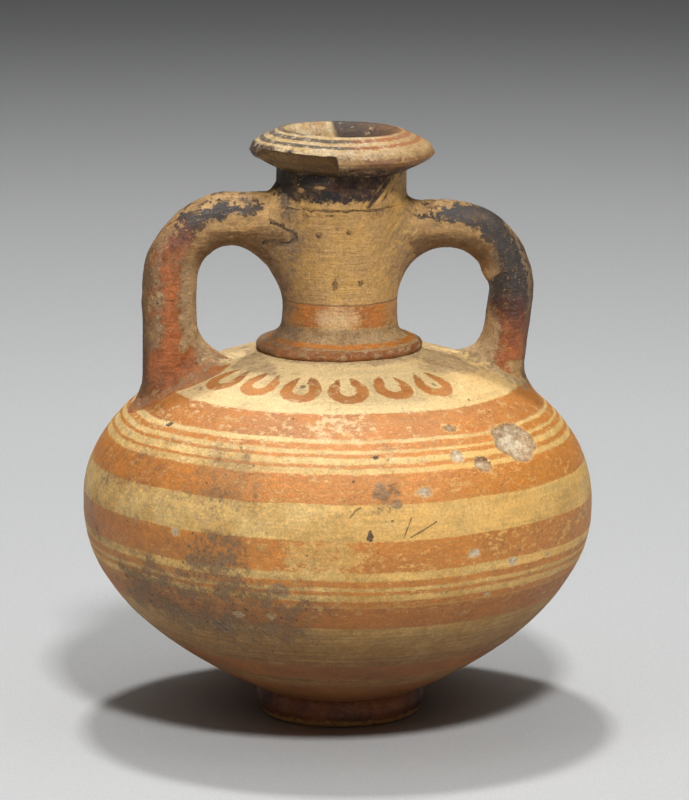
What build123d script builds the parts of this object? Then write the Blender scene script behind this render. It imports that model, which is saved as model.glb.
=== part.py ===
from build123d import *

import os
from math import cos, radians, sin

# Two-handled aryballos flask of fired clay, made of thrown and rolled pieces luted together.
# Millimetres, +Z up. The origin is the centre of the ring that the foot stands on, and the
# two handles lie along X. Every piece is a separate solid that seats on its neighbours.

# Foot: a low ring with a rounded side
FOOT_HEIGHT = 5.2
FOOT_REST_RADIUS = 15.3
FOOT_RADIUS = 16.8
FOOT_BULGE_HEIGHT = 2.5
FOOT_LEDGE = 0.6  # how far the ring's top edge stands out past the flank
FOOT_HOLLOW_RADIUS = 10.4
FOOT_EDGE_FILLET = 0.5

# Body: a squat globe thrown in two halves, with its widest circle at the belly
BELLY_RADIUS = 51.1
BELLY_RISE = 37.8  # from the top of the foot to the belly
SHOULDER_RISE = 32.0  # from the belly to the crown where the neck is set in
WALL = 4.2
SEAM_RISE = 3.0  # how far the bevelled belly seam climbs from its outer to its inner edge

# Lower flank, from the belly down to the foot
FLANK_RADIUS = 15.5
FLANK_SLOPE = 28.0  # degrees from level where the flank meets the base
FLANK_PULL = 21.0  # how long the flank stays upright below the belly
FLANK_REACH = 12.0  # how long the flank keeps its slope above the foot
BASE_BEVEL = 4.2  # how far in from the flank the level base starts
BASE_LIFT = 3.0
FLOOR_THICKNESS = 4.6

# Shoulder, from the belly up to the crown
CROWN_RADIUS = 12.0
CROWN_SLOPE = 8.0  # degrees from level at the crown
SHOULDER_PULL = 20.0
SHOULDER_REACH = 18.0

# Neck: a waisted tube that drops into the crown
NECK_LENGTH = 29.0
NECK_WAIST_RISE = 8.0
NECK_WAIST_RADIUS = 11.4
NECK_WALL = 3.4
NECK_TOP_RADIUS = 13.2
SEAT_FALL = 1.4  # how far each bevelled seat falls from its outer to its inner edge

# Collar: a ridge pressed round the foot of the neck
COLLAR_REACH = 4.4  # how far the ridge stands out past the crown's opening
COLLAR_LIFT = 0.7
COLLAR_UNDERCUT = 0.9  # how far the ridge draws in again below its widest point
COLLAR_LENGTH = 6.0
COLLAR_HOLLOW = 2.2  # how far the concave top sinks below a straight slope

# Throat and mouth
THROAT_LENGTH = 6.3
THROAT_SETBACK = 0.2
THROAT_WALL = 4.4
LIP_DEPTH = 7.7
LIP_OVERHANG = 5.5
LIP_EDGE_DROP = 4.4  # from the mouth's crest down to the middle of the lip's edge
LIP_EDGE_THICKNESS = 3.4
LIP_EDGE_BULGE = 0.8
MOUTH_FLARE = 3.6
MOUTH_CREST_FILLET = 0.5

# Handles: rolled coils, the left one stouter than the right one
LEFT_HANDLE_DROP = 3.8  # from the neck's top edge down to the coil's centre line
LEFT_HANDLE_INSET = 17.7  # from the belly's side in to the middle of the handle's foot
LEFT_HANDLE_BOW = 1.2  # how much further out the corner lies than the foot
LEFT_HANDLE_BEND = 12.0
LEFT_HANDLE_NECK_THICKNESS = 10.2
LEFT_HANDLE_LEG_THICKNESS = 11.2
LEFT_HANDLE_WIDTH = 11.6
RIGHT_HANDLE_DROP = 5.2
RIGHT_HANDLE_INSET = 18.9
RIGHT_HANDLE_BOW = 3.6
RIGHT_HANDLE_BEND = 14.0
RIGHT_HANDLE_NECK_THICKNESS = 9.0
RIGHT_HANDLE_LEG_THICKNESS = 8.6
RIGHT_HANDLE_WIDTH = 11.0
HANDLE_SINK = 8.0  # how deep the coil's shape runs under the shoulder's surface
HANDLE_SECTIONS = 11

# Wads: soft clay pressed under the handle roots and round the handle feet
LEFT_WAD_DROP = 11.0  # how far the web under the left handle reaches down the neck
LEFT_WAD_LENGTH = 11.2  # how far the web runs out along the left handle
RIGHT_WAD_DROP = 10.6
RIGHT_WAD_LENGTH = 10.0
NECK_WAD_WIDTH = 15.0
NECK_WAD_SECTIONS = 5
FOOT_WAD_FLARE = 3.0  # how far the skirt spreads past the handle at the shoulder's surface
FOOT_WAD_RISE = 6.4
FOOT_WAD_SINK = 3.0  # how deep the skirt's shape starts under the shoulder's surface
FOOT_WAD_SECTIONS = 4
WAD_BITE = 0.6  # how far a wad runs inside the handle that it is pressed on

SEARCH_STEP = 1e-9  # where a search along a curve stops, as a share of its length

# Heights and radii that follow from the sizes above
BELLY_HEIGHT = FOOT_HEIGHT + BELLY_RISE
CROWN_HEIGHT = BELLY_HEIGHT + SHOULDER_RISE
NECK_TOP = CROWN_HEIGHT + NECK_LENGTH
THROAT_TOP = NECK_TOP + THROAT_LENGTH
OVERALL_HEIGHT = THROAT_TOP + LIP_DEPTH
NECK_BORE_RADIUS = NECK_WAIST_RADIUS - NECK_WALL
THROAT_RADIUS = NECK_TOP_RADIUS - THROAT_SETBACK
THROAT_BORE_RADIUS = THROAT_RADIUS - THROAT_WALL

BELLY = Vector(BELLY_RADIUS, BELLY_HEIGHT)
CROWN = Vector(CROWN_RADIUS, CROWN_HEIGHT)
FLANK_END = Vector(FLANK_RADIUS, FOOT_HEIGHT)
FLANK_WAY = Vector(cos(radians(FLANK_SLOPE)), sin(radians(FLANK_SLOPE)))
FLANK_NORMAL = Vector(-FLANK_WAY.Y, FLANK_WAY.X)
CROWN_WAY = Vector(cos(radians(CROWN_SLOPE)), -sin(radians(CROWN_SLOPE)))
CROWN_NORMAL = Vector(-CROWN_WAY.Y, CROWN_WAY.X)
INNER_BELLY = BELLY - Vector(WALL, 0)
INNER_CROWN = CROWN - CROWN_NORMAL * WALL
INNER_FLANK_END = FLANK_END + FLANK_NORMAL * WALL
UP = Vector(0, 1)


def flank_points(belly, end):
    """Control points of the lower curve of the body, from the belly down to its end."""
    return belly, belly - UP * FLANK_PULL, end + FLANK_WAY * FLANK_REACH, end


def shoulder_points(belly, end):
    """Control points of the upper curve of the body, from the belly up to the crown."""
    return belly, belly + UP * SHOULDER_PULL, end + CROWN_WAY * SHOULDER_REACH, end


def body_outside():
    """The outer line of the body, from the axis under the base up to the crown."""
    Polyline((0, BASE_LIFT), (FLANK_RADIUS - BASE_BEVEL, BASE_LIFT), FLANK_END)
    Bezier(*flank_points(BELLY, FLANK_END))
    Bezier(*shoulder_points(BELLY, CROWN))


def body_wall():
    """The closed outline of the body's wall and floor."""
    body_outside()
    Line(CROWN, INNER_CROWN)
    Bezier(*shoulder_points(INNER_BELLY, INNER_CROWN))
    Bezier(*flank_points(INNER_BELLY, INNER_FLANK_END))
    Polyline(INNER_FLANK_END, (0, BASE_LIFT + FLOOR_THICKNESS), (0, BASE_LIFT))


def body_filled():
    """The body's outline with its hollow filled."""
    body_outside()
    Polyline(CROWN, (0, CROWN_HEIGHT), (0, BASE_LIFT))


def above_seam():
    """Everything above the bevelled seam that joins the two thrown halves."""
    bevel = Vector(-WALL, SEAM_RISE)
    outer, inner = BELLY - bevel, BELLY + bevel * 2
    Polyline(outer, inner, (0, inner.Y), (0, OVERALL_HEIGHT), (outer.X, OVERALL_HEIGHT), outer)


def neck_outside():
    """The outer line of the neck, from its foot inside the crown up to its top edge."""
    Line(INNER_CROWN, CROWN)
    waist = (NECK_WAIST_RADIUS, CROWN_HEIGHT + NECK_WAIST_RISE)
    ThreePointArc(CROWN, waist, (NECK_TOP_RADIUS, NECK_TOP))


def neck_seat(radius):
    """The point of the neck's bevelled top edge at a radius."""
    return radius, NECK_TOP - SEAT_FALL * (NECK_TOP_RADIUS - radius) / (NECK_TOP_RADIUS - NECK_BORE_RADIUS)


def neck_filled():
    """The neck's outline with its bore filled."""
    neck_outside()
    top, foot = NECK_TOP - SEAT_FALL, INNER_CROWN.Y
    seat = (NECK_BORE_RADIUS, top)
    Polyline((NECK_TOP_RADIUS, NECK_TOP), seat, (0, top), (0, foot), INNER_CROWN)


with BuildPart() as foot_ring:
    with BuildSketch(Plane.XZ):
        with BuildLine():
            rest = Vector(FOOT_REST_RADIUS, 0)
            top = FLANK_END + Vector(FOOT_LEDGE, 0)
            hollow = Vector(FOOT_HOLLOW_RADIUS, 0)
            buried = UP * (WALL / 2)
            ThreePointArc(rest, (FOOT_RADIUS, FOOT_BULGE_HEIGHT), top)
            Polyline(top, top + buried, hollow + UP * BASE_LIFT + buried, hollow, rest)
        make_face()
        with BuildLine():
            body_filled()
        make_face(mode=Mode.SUBTRACT)
    revolve(axis=Axis.Z)
    fillet(foot_ring.edges().group_by(Axis.Z)[0], radius=FOOT_EDGE_FILLET)
foot_ring.part.label = "foot_ring"

with BuildPart() as lower_body:
    with BuildSketch(Plane.XZ):
        with BuildLine():
            body_wall()
        make_face()
        with BuildLine():
            above_seam()
        make_face(mode=Mode.SUBTRACT)
    revolve(axis=Axis.Z)
lower_body.part.label = "lower_body"

with BuildPart() as upper_body:
    with BuildSketch(Plane.XZ):
        with BuildLine():
            body_wall()
        make_face()
        with BuildLine():
            above_seam()
        make_face(mode=Mode.INTERSECT)
    revolve(axis=Axis.Z)
upper_body.part.label = "upper_body"

with BuildPart() as neck:
    with BuildSketch(Plane.XZ):
        with BuildLine():
            neck_outside()
            Polyline(
                (NECK_TOP_RADIUS, NECK_TOP),
                (NECK_BORE_RADIUS, NECK_TOP - SEAT_FALL),
                (NECK_BORE_RADIUS, INNER_CROWN.Y),
                INNER_CROWN,
            )
        make_face()
    revolve(axis=Axis.Z)
neck.part.label = "neck"

with BuildPart() as neck_collar:
    with BuildSketch(Plane.XZ):
        with BuildLine():
            ridge = CROWN + Vector(COLLAR_REACH, COLLAR_LIFT)
            top = Vector(NECK_WAIST_RADIUS, CROWN_HEIGHT + COLLAR_LENGTH)
            hollow = (ridge + top) * 0.5 - Vector(0, COLLAR_HOLLOW)
            root = CROWN + Vector(COLLAR_REACH - COLLAR_UNDERCUT, -WALL / 2)
            core = Vector(NECK_BORE_RADIUS, CROWN_HEIGHT)
            Bezier(top, hollow, ridge + Vector(0, COLLAR_HOLLOW / 2), ridge)
            ThreePointArc(ridge, (ridge + root) * 0.5 + Vector(COLLAR_UNDERCUT / 4, 0), root)
            Polyline(root, core, core + UP * COLLAR_LENGTH, top)
        make_face()
        with BuildLine():
            body_filled()
        make_face(mode=Mode.SUBTRACT)
        with BuildLine():
            neck_filled()
        make_face(mode=Mode.SUBTRACT)
    revolve(axis=Axis.Z)
neck_collar.part.label = "neck_collar"

with BuildPart() as throat:
    with BuildSketch(Plane.XZ):
        with BuildLine():
            Polyline(
                neck_seat(THROAT_BORE_RADIUS),
                neck_seat(THROAT_RADIUS),
                (THROAT_RADIUS, THROAT_TOP),
                (THROAT_BORE_RADIUS, THROAT_TOP - SEAT_FALL),
                close=True,
            )
        make_face()
    revolve(axis=Axis.Z)
throat.part.label = "throat"

with BuildPart() as lip_plate:
    with BuildSketch(Plane.XZ) as lip_section:
        with BuildLine():
            seat = Vector(THROAT_BORE_RADIUS, THROAT_TOP - SEAT_FALL)
            crest = Vector(THROAT_BORE_RADIUS + MOUTH_FLARE, OVERALL_HEIGHT)
            root = Vector(THROAT_RADIUS, THROAT_TOP)
            edge = Vector(THROAT_RADIUS + LIP_OVERHANG, OVERALL_HEIGHT - LIP_EDGE_DROP)
            upper = edge + Vector(-LIP_EDGE_BULGE, LIP_EDGE_THICKNESS / 2)
            lower = edge - Vector(LIP_EDGE_BULGE, LIP_EDGE_THICKNESS / 2)
            Bezier(seat, seat + UP * LIP_DEPTH, crest)
            Line(crest, upper)
            ThreePointArc(upper, edge, lower)
            Polyline(lower, root, seat)
        make_face()
        fillet(lip_section.vertices().sort_by(Axis.Y)[-1], radius=MOUTH_CREST_FILLET)
    revolve(axis=Axis.Z)
lip_plate.part.label = "lip_plate"

# The outside of the vessel as one filled solid. It shapes the ends of what is luted on, and isn't a piece.
with BuildPart() as vessel_core:
    with BuildSketch(Plane.XZ):
        with BuildLine():
            body_filled()
        make_face()
        with BuildLine():
            neck_filled()
        make_face()
        with BuildLine():
            Polyline(
                neck_seat(0),
                neck_seat(THROAT_RADIUS),
                (THROAT_RADIUS, THROAT_TOP),
                (0, THROAT_TOP),
                close=True,
            )
        make_face()
    revolve(axis=Axis.Z)
    add(neck_collar.part)


def shoulder_at(radius):
    """The point of the shoulder's outer line at a radius, and the line's direction there."""
    line = Edge.make_bezier(*shoulder_points(BELLY, CROWN))
    low, high = 0.0, 1.0
    while high - low > SEARCH_STEP:
        middle = (low + high) / 2
        low, high = (middle, high) if (line @ middle).X > radius else (low, middle)
    return line @ low, line % low


def handle_route(side, top, corner, foot, bend):
    """The centre line of a handle, from inside the neck's wall out, down and into the shoulder."""
    start = (NECK_BORE_RADIUS + NECK_TOP_RADIUS) / 2
    end = shoulder_at(foot)[0].Y - HANDLE_SINK
    with BuildLine(Plane.XZ) as route:
        FilletPolyline((side * start, top), (side * corner, top), (side * foot, end), radius=bend)
    return route.line


def make_handle(label, route, neck_thickness, leg_thickness, width):
    """A rolled coil along its route, saddled to the neck and the shoulder at its ends."""
    with BuildPart() as handle:
        for section in range(HANDLE_SECTIONS):
            share = section / (HANDLE_SECTIONS - 1)
            thickness = neck_thickness + (leg_thickness - neck_thickness) * share
            with BuildSketch(Plane(origin=route @ share, x_dir=(0, 1, 0), z_dir=route % share)):
                Ellipse(width / 2, thickness / 2)
        loft()
        add(vessel_core.part, mode=Mode.SUBTRACT)
    handle.part.label = label
    return handle.part


def make_neck_wad(label, handle, side, top, thickness, width, drop, length):
    """The web of clay under a handle's root, which falls along a parabola to the neck."""
    roof = top + thickness / 4
    underside = top - thickness / 2 + WAD_BITE
    with BuildPart() as wad:
        for section in range(NECK_WAD_SECTIONS):
            share = section / (NECK_WAD_SECTIONS - 1)
            out = NECK_BORE_RADIUS + (NECK_WAIST_RADIUS - NECK_BORE_RADIUS + length) * share
            past_neck = (out - NECK_WAIST_RADIUS) / length
            bottom = underside - drop * (1 - max(past_neck, 0)) ** 2
            breadth = NECK_WAD_WIDTH + (width - 2 * WAD_BITE - NECK_WAD_WIDTH) * share
            middle = (side * out, 0, (roof + bottom) / 2)
            with BuildSketch(Plane(origin=middle, x_dir=(0, 1, 0), z_dir=(side, 0, 0))):
                Ellipse(breadth / 2, (roof - bottom) / 2)
        loft()
        add(vessel_core.part, mode=Mode.SUBTRACT)
        add(handle, mode=Mode.SUBTRACT)
    wad.part.label = label
    return wad.part


def make_foot_wad(label, handle, side, route, foot, thickness, width):
    """The flared skirt of clay pressed round a handle's foot, square to the shoulder."""
    point, way = shoulder_at(foot)
    normal = Vector(side * way.Y, 0, -way.X)
    base = Vector(side * point.X, 0, point.Y)
    leg = (route % 1) * -1
    lean = leg.dot(normal)
    spread = thickness / 2 / lean
    with BuildPart() as wad:
        for section in range(FOOT_WAD_SECTIONS):
            share = section / (FOOT_WAD_SECTIONS - 1)
            level = (FOOT_WAD_RISE + FOOT_WAD_SINK) * share - FOOT_WAD_SINK
            flare = (FOOT_WAD_FLARE + WAD_BITE) * (1 - level / FOOT_WAD_RISE) ** 2 - WAD_BITE
            middle = base + leg * (level / lean)
            with BuildSketch(Plane(origin=middle, x_dir=(0, 1, 0), z_dir=normal)):
                Ellipse(width / 2 + flare, spread + flare)
        loft()
        add(vessel_core.part, mode=Mode.SUBTRACT)
        add(handle, mode=Mode.SUBTRACT)
    wad.part.label = label
    return wad.part


pieces = [
    foot_ring.part,
    lower_body.part,
    upper_body.part,
    neck.part,
    neck_collar.part,
    throat.part,
    lip_plate.part,
]

handles = (
    ("left", -1, NECK_TOP - LEFT_HANDLE_DROP, LEFT_HANDLE_INSET, LEFT_HANDLE_BOW, LEFT_HANDLE_BEND,
     LEFT_HANDLE_NECK_THICKNESS, LEFT_HANDLE_LEG_THICKNESS, LEFT_HANDLE_WIDTH,
     LEFT_WAD_DROP, LEFT_WAD_LENGTH),
    ("right", 1, NECK_TOP - RIGHT_HANDLE_DROP, RIGHT_HANDLE_INSET, RIGHT_HANDLE_BOW, RIGHT_HANDLE_BEND,
     RIGHT_HANDLE_NECK_THICKNESS, RIGHT_HANDLE_LEG_THICKNESS, RIGHT_HANDLE_WIDTH,
     RIGHT_WAD_DROP, RIGHT_WAD_LENGTH),
)
for name, side, top, inset, bow, bend, neck_thickness, leg_thickness, width, drop, length in handles:
    foot = BELLY_RADIUS - inset
    route = handle_route(side, top, foot + bow, foot, bend)
    handle = make_handle(f"{name}_handle", route, neck_thickness, leg_thickness, width)
    pieces.append(handle)
    pieces.append(
        make_neck_wad(f"{name}_neck_wad", handle, side, top, neck_thickness, width, drop, length)
    )
    pieces.append(
        make_foot_wad(f"{name}_foot_wad", handle, side, route, foot, leg_thickness, width)
    )

os.makedirs("parts", exist_ok=True)
for piece in pieces:
    export_step(piece, f"parts/{piece.label}.step")
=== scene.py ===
"""A two-handled aryballos flask of painted clay, dressed around its packed CAD frame.

The frame is in metres: +Z up, the handles along X, the front towards -Y. Shapes are worked out
in millimetres and scaled when their mesh is made. Paint is placed by its height on the pot and
by its turn, the angle in degrees from the middle of the photographed side.
"""

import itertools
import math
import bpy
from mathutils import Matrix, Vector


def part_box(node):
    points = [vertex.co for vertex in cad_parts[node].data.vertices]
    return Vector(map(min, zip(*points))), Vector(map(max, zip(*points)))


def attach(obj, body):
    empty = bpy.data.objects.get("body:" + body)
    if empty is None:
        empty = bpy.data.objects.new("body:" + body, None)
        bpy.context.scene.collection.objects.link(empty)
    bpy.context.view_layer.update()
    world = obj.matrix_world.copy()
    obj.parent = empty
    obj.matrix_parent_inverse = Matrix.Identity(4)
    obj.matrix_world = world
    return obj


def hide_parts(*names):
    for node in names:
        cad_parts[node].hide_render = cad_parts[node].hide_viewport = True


bl_info = {
    "name": "Aryballos Flask",
    "version": (1, 0, 0),
    "blender": (4, 5, 0),
    "location": "View3D > Sidebar > Flask",
    "description": "Builds a painted clay flask around its CAD frame, with a studio stage",
    "category": "Add Mesh",
}

import bpy
import numpy as np
from bpy.props import FloatProperty, FloatVectorProperty, PointerProperty
from mathutils import Vector

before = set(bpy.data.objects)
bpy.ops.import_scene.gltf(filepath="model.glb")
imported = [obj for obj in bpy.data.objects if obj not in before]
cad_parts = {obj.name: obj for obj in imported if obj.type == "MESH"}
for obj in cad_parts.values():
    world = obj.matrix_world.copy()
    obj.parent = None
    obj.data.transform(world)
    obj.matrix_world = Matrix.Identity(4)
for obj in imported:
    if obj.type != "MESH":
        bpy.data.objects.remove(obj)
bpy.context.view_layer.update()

MM = 0.001

# Places that the packed frame gives, in metres
BELLY_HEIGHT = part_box("upper_body")[0].z
BELLY_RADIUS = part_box("upper_body")[1].x
CROWN_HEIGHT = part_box("upper_body")[1].z
NECK_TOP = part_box("neck")[1].z
NECK_TOP_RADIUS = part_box("neck")[1].x
THROAT_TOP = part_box("throat")[1].z
THROAT_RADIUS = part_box("throat")[1].x
LIP_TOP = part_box("lip_plate")[1].z
LIP_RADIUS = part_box("lip_plate")[1].x
FOOT_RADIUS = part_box("foot_ring")[1].x

# Small sizes of the turned shapes, in millimetres, with slopes given in degrees
WALL = 4.2
SEAM_RISE = 3.0
FLANK_RADIUS = 15.5
FLANK_SLOPE = math.radians(28)
FLANK_PULL = 21.0
FLANK_REACH = 12.0
BASE_BEVEL = 4.2
BASE_LIFT = 3.0
FLOOR_THICKNESS = 4.6
CROWN_SLOPE = math.radians(8)
SHOULDER_PULL = 20.0
SHOULDER_REACH = 18.0
FOOT_LEDGE = 0.6
FOOT_REST_RADIUS = 15.3
FOOT_BULGE_HEIGHT = 2.5
FOOT_HOLLOW_RADIUS = 10.4
SEAT_FALL = 1.4
COLLAR_REACH = 4.4
COLLAR_LIFT = 0.7
COLLAR_LENGTH = 4.8
COLLAR_HOLLOW = 0.9
COLLAR_FOOT = 0.35
THROAT_WALL = 4.4
MOUTH_FLARE = 3.6
LIP_EDGE_DROP = 4.4
LIP_EDGE_BULGE = 0.8
LIP_EDGE_RISE = 1.7
LIP_EDGE_FALL = 1.0
CORNER_ROUND = 0.35

# How finely the meshes are divided: points round a circle, rows, and millimetres between points
BODY_SEGMENTS = 560
NECK_SEGMENTS = 420
COIL_SEGMENTS = 112
COIL_ROWS = 150
WAD_ROWS = 26
OUTER_STEP = 0.55
NECK_STEP = 0.32
INNER_STEP = 3.0
HIDDEN_STEP = 1.6
HAIR = 0.05  # how close to a run's end its last point lies, so that seams shade flush
ON_AXIS = 1e-6  # a row this near the axis is one point, not a ring
CURVE_POINTS = 600
RIM_LEAD = 40  # how many points before a curve's end give its way into a rounded corner
MOUTH_LEAD = 30
SHARP_ANGLE = math.radians(38)
SEARCH_STEPS = 160
FOOT_SEARCH = 0.55  # the share of a handle's length past which its foot is looked for
ROOT_SEARCH = 0.4  # the share before which its root is looked for

# The pot leans a little: how far its middle lies from the axis along X, by height
LEAN_HEIGHTS = (0, 12, 30, 43, 68, 83, 100, 118)
LEAN_SHIFTS = (0, -0.1, -0.35, -0.5, -0.5, -0.15, 0.45, 0.5)
LIP_RISE = 0.5  # how far the pulled-up lip stands above the even shape
LIP_TILT = 0.02  # how far the lip falls for each millimetre to the right
FULLER = 0.5  # how far the left shoulder swells, about a turn
FULLER_TURN = -68.0
FULLER_SPREAD = 30.0
SLIMMER = 0.35  # how far the flank draws in
# Unevenness of the whole pot: reach, size of its lumps, seed
WANDER = ((0.24, 38, 11), (0.10, 13, 21))

# Turn of the photographed side's middle from the front of the frame, in degrees
VIEW_TURN = -8.0

# Broken places on the body: turn, height, width, height on the surface, depth, paleness
CHIPS = (
    (52.0, 60.8, 11.3, 9.2, 0.95, 0.62),
    (38.0, 58.3, 4.2, 3.6, 0.55, 0.58),
    (31.3, 60.1, 3.4, 3.0, 0.35, 0.85),
    (33.6, 64.7, 3.0, 2.0, 0.12, 0.5),
    (42.1, 39.1, 2.6, 1.8, 0.25, 0.95),
    (31.3, 42.1, 2.8, 1.9, 0.25, 0.95),
    (36.4, 33.0, 2.0, 1.2, 0.2, 0.95),
    (54.3, 38.5, 1.4, 1.1, 0.12, 0.8),
    (20.0, 54.6, 3.4, 2.2, 0.18, 0.85),
    (-24.0, 30.2, 2.0, 1.6, 0.2, 0.9),
    (-16.0, 30.3, 1.8, 1.5, 0.2, 0.9),
    (-38.0, 45.8, 2.4, 2.0, 0.3, 0.95),
    (-53.2, 63.9, 1.6, 1.4, 0.45, 0.0),
    (32.7, 52.0, 1.2, 1.4, 0.2, 0.0),
    (9.9, 60.9, 1.7, 0.8, 0.2, 0.0),
    (6.9, 46.9, 1.6, 2.2, 0.25, 0.1),
    (118.0, 49.0, 5.2, 4.0, 0.5, 0.65),
    (161.0, 62.0, 4.0, 3.4, 0.35, 0.6),
    (205.0, 36.5, 6.4, 4.6, 0.55, 0.6),
    (236.0, 55.5, 3.0, 2.4, 0.3, 0.9),
)
# Lumps of hard earth that stand proud: turn, height, width, height on the surface, rise
LUMPS = (
    (9.7, 55.1, 4.6, 4.8, 0.6),
    (13.4, 52.9, 2.2, 1.8, 0.4),
    (-21.0, 31.6, 6.5, 4.5, 0.3),
    (-30.0, 26.9, 5.0, 3.5, 0.25),
    (-13.0, 36.2, 4.0, 3.0, 0.25),
    (142.0, 40.0, 5.0, 4.0, 0.3),
    (-128.0, 31.0, 6.0, 4.5, 0.3),
)
CHIP_REACH = 1.6  # how far round a chip or a lump its ragged outline is followed, in its widths
NO_CHIP = -3.0  # the chips' mark far from any chip
NO_LUMP = -1.0  # the lumps' mark far from any lump
# Scratches on the body, as points of turn and height
SCRATCHES = (
    ((4.6, 52.3), (3.4, 51.8), (2.3, 50.6)),
    ((15.9, 50.2), (14.0, 46.7)),
    ((15.5, 46.5), (21.6, 49.1)),
)
# Pits in the neck: turn, height, half their turn, half their height
NECK_PITS = (
    (-8.7, 102.9, 4.0, 0.3),
    (8.9, 99.5, 5.0, 0.65),
    (-20.0, 98.8, 4.0, 0.8),
    (-4.7, 88.9, 3.0, 1.5),
    (21.0, 89.1, 3.5, 0.8),
)
# The crack round the left handle's root, as points of X and Z
ROOT_CRACK = (
    (-15.6, 97.0), (-11.5, 96.8), (-9.9, 97.6), (-10.0, 98.8), (-12.2, 100.2), (-15.2, 101.2),
)
# Bare spots in the throat's dark paint: turn, height, half their turn, half their height
THROAT_SPOTS = ((-36.0, 107.6, 4.0, 0.6), (-17.0, 108.4, 6.0, 0.35))

# The flake that is missing under the lip's front: the turns where it starts and ends, how far in
# from the lip's radius and down from its top the break begins, and the way that the break faces
FLAKE_START = -66.0
FLAKE_END = -1.5
FLAKE_INSET = 0.55
FLAKE_DROP = 2.9
FLAKE_FACING = (0.62, -0.785)

# Stained places on the body: strength, turn, height, half their turn, half their height
STAINS = (
    (0.60, -30.0, 30.5, 30.0, 10.0),
    (0.58, -28.5, 43.0, 12.0, 3.6),
    (0.25, -64.0, 36.0, 22.0, 12.0),
    (0.30, -27.0, 57.0, 10.0, 6.0),
    (0.12, -42.0, 49.5, 30.0, 4.5),
    (0.24, -62.0, 57.0, 20.0, 6.0),
    (0.30, 8.5, 56.0, 6.0, 6.5),
    (0.45, 150.0, 36.0, 40.0, 13.0),
    (0.40, -140.0, 56.0, 24.0, 9.0),
)
# Pale dust, dull slip and smoky film on the body, in the same columns
DUST = ((0.45, -48.0, 49.5, 34.0, 5.5), (0.45, -40.0, 27.0, 30.0, 6.0))
DULL = ((1.0, -58.0, 55.5, 30.0, 4.0), (1.0, -60.0, 43.0, 28.0, 4.5))
SMOKE = ((1.0, -28.0, 56.5, 11.0, 6.0), (0.9, -36.0, 31.0, 32.0, 8.0))
# Dark dabs among the tongues: turn, distance from the axis, half their width
DABS = ((-15.6, 26.8, 0.6), (41.5, 27.5, 0.5), (-14.0, 25.6, 0.4))

# Painted rings on the body: lower edge, upper edge, share of red-brown in the slip
UPPER_RINGS = (
    (52.8, 58.1, 0.12),
    (59.0, 59.75, 0.1),
    (60.75, 61.5, 0.1),
    (62.0, 63.15, 0.12),
    (63.7, 67.55, 0.35),
)
LOWER_RINGS = (
    (3.0, 11.3, 0.7),
    (13.8, 17.7, 0.6),
    (27.7, 32.5, 0.55),
    (32.65, 33.95, 0.25),
    (35.3, 36.1, 0.2),
    (36.9, 38.3, 0.22),
    (40.05, 46.15, 0.2),
)
RING_SPLIT = 49.5  # the height between the two ramps that the rings are held in
RING_SPLIT_SOFT = 0.1
RING_TOP = 72.0
RING_TILT = 0.4  # how far the rings sink at the right and rise at the left
RING_SOFT = 0.12
PINCH = 0.15  # how far the upper rings' edges draw in at the left
PINCH_MIDDLE = 61.0
PINCH_PITCH = 1.6
SHOULDER_EDGE = (60.0, 62.0)  # heights between which marks on the shoulder begin

# The ring of painted tongues on the shoulder
TONGUE_COUNT = 19
TONGUE_TURN = -53.5
TONGUE_RADIUS = 27.6  # of the circle that the round ends of the tongues centre on
TONGUE_HALF = 2.7
TONGUE_STROKE = 2.35
TONGUE_ARM = 3.4
TONGUE_SOFT = 0.14
BARE_START = (50.5, 52.0)  # turns by the right handle between which the tongues wear away and return
BARE_END = (101.0, 98.0)

# Painted bands, by where they start, are full, begin to fade and end. On the neck these are heights,
# and on the collar and the lip distances from the axis. Pairs are single edges, outside to inside.
NECK_LINE = (84.45, 84.7, 84.8, 85.05)
COLLAR_RIDGE = (13.3, 13.6, 14.9, 15.2)
LIP_RINGS = ((12.9, 13.1, 13.9, 14.2), (15.0, 15.2, 15.9, 16.2))
LIP_BRIM = (10.9, 11.4, 12.2, 12.6)
NECK_BAND_TOP = (84.9, 84.7)
NECK_BAND_FOOT = (79.6, 80.4)
COLLAR_TOP = (79.4, 78.6)
COLLAR_SKIRT = (15.5, 15.8)
THROAT_EDGE = 105.4
SEAM_HEIGHT = 103.75
SWEEP = math.radians(48)  # slant of the strokes that smoothed the right handle's root

# Stripes of slip on the handles: places along the handle with their colours, and the stripe's two
# edges there, from -1 on the handle's inner side to 1 on its outer side
STRIPES = {
    "left": (
        (
            (0.12, "dark"), (0.33, "dark"), (0.38, "maroon"),
            (0.45, "rust"), (0.76, "rust"), (0.88, "red_brown"),
        ),
        (
            (0.0, 0.6), (0.12, 0.5), (0.2, 0.3), (0.33, 0.25), (0.42, -0.1),
            (0.5, -0.35), (0.74, -0.45), (0.84, -1.4), (1.0, -1.4),
        ),
        (
            (0.0, 0.7), (0.12, 0.66), (0.33, 0.72), (0.45, 0.72),
            (0.55, 0.5), (0.72, 0.55), (0.8, 1.4), (1.0, 1.4),
        ),
    ),
    "right": (
        (
            (0.115, "dark"), (0.57, "dark"), (0.64, "maroon"),
            (0.73, "red_brown"), (0.78, "rust"), (0.83, "rust"),
        ),
        (
            (0.0, 0.8), (0.12, 0.45), (0.3, 0.15), (0.42, -0.3), (0.48, -0.55),
            (0.53, -1.1), (0.62, -1.2), (0.7, -0.6), (1.0, -0.5),
        ),
        (
            (0.0, 0.5), (0.12, 0.55), (0.22, 0.75), (0.34, 1.3), (0.44, 0.8),
            (0.56, 0.7), (0.66, 0.85), (0.72, 1.4), (1.0, 1.4),
        ),
    ),
}
STRIPE_REACH = 2.0  # edges up to this far either way can be held

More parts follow.
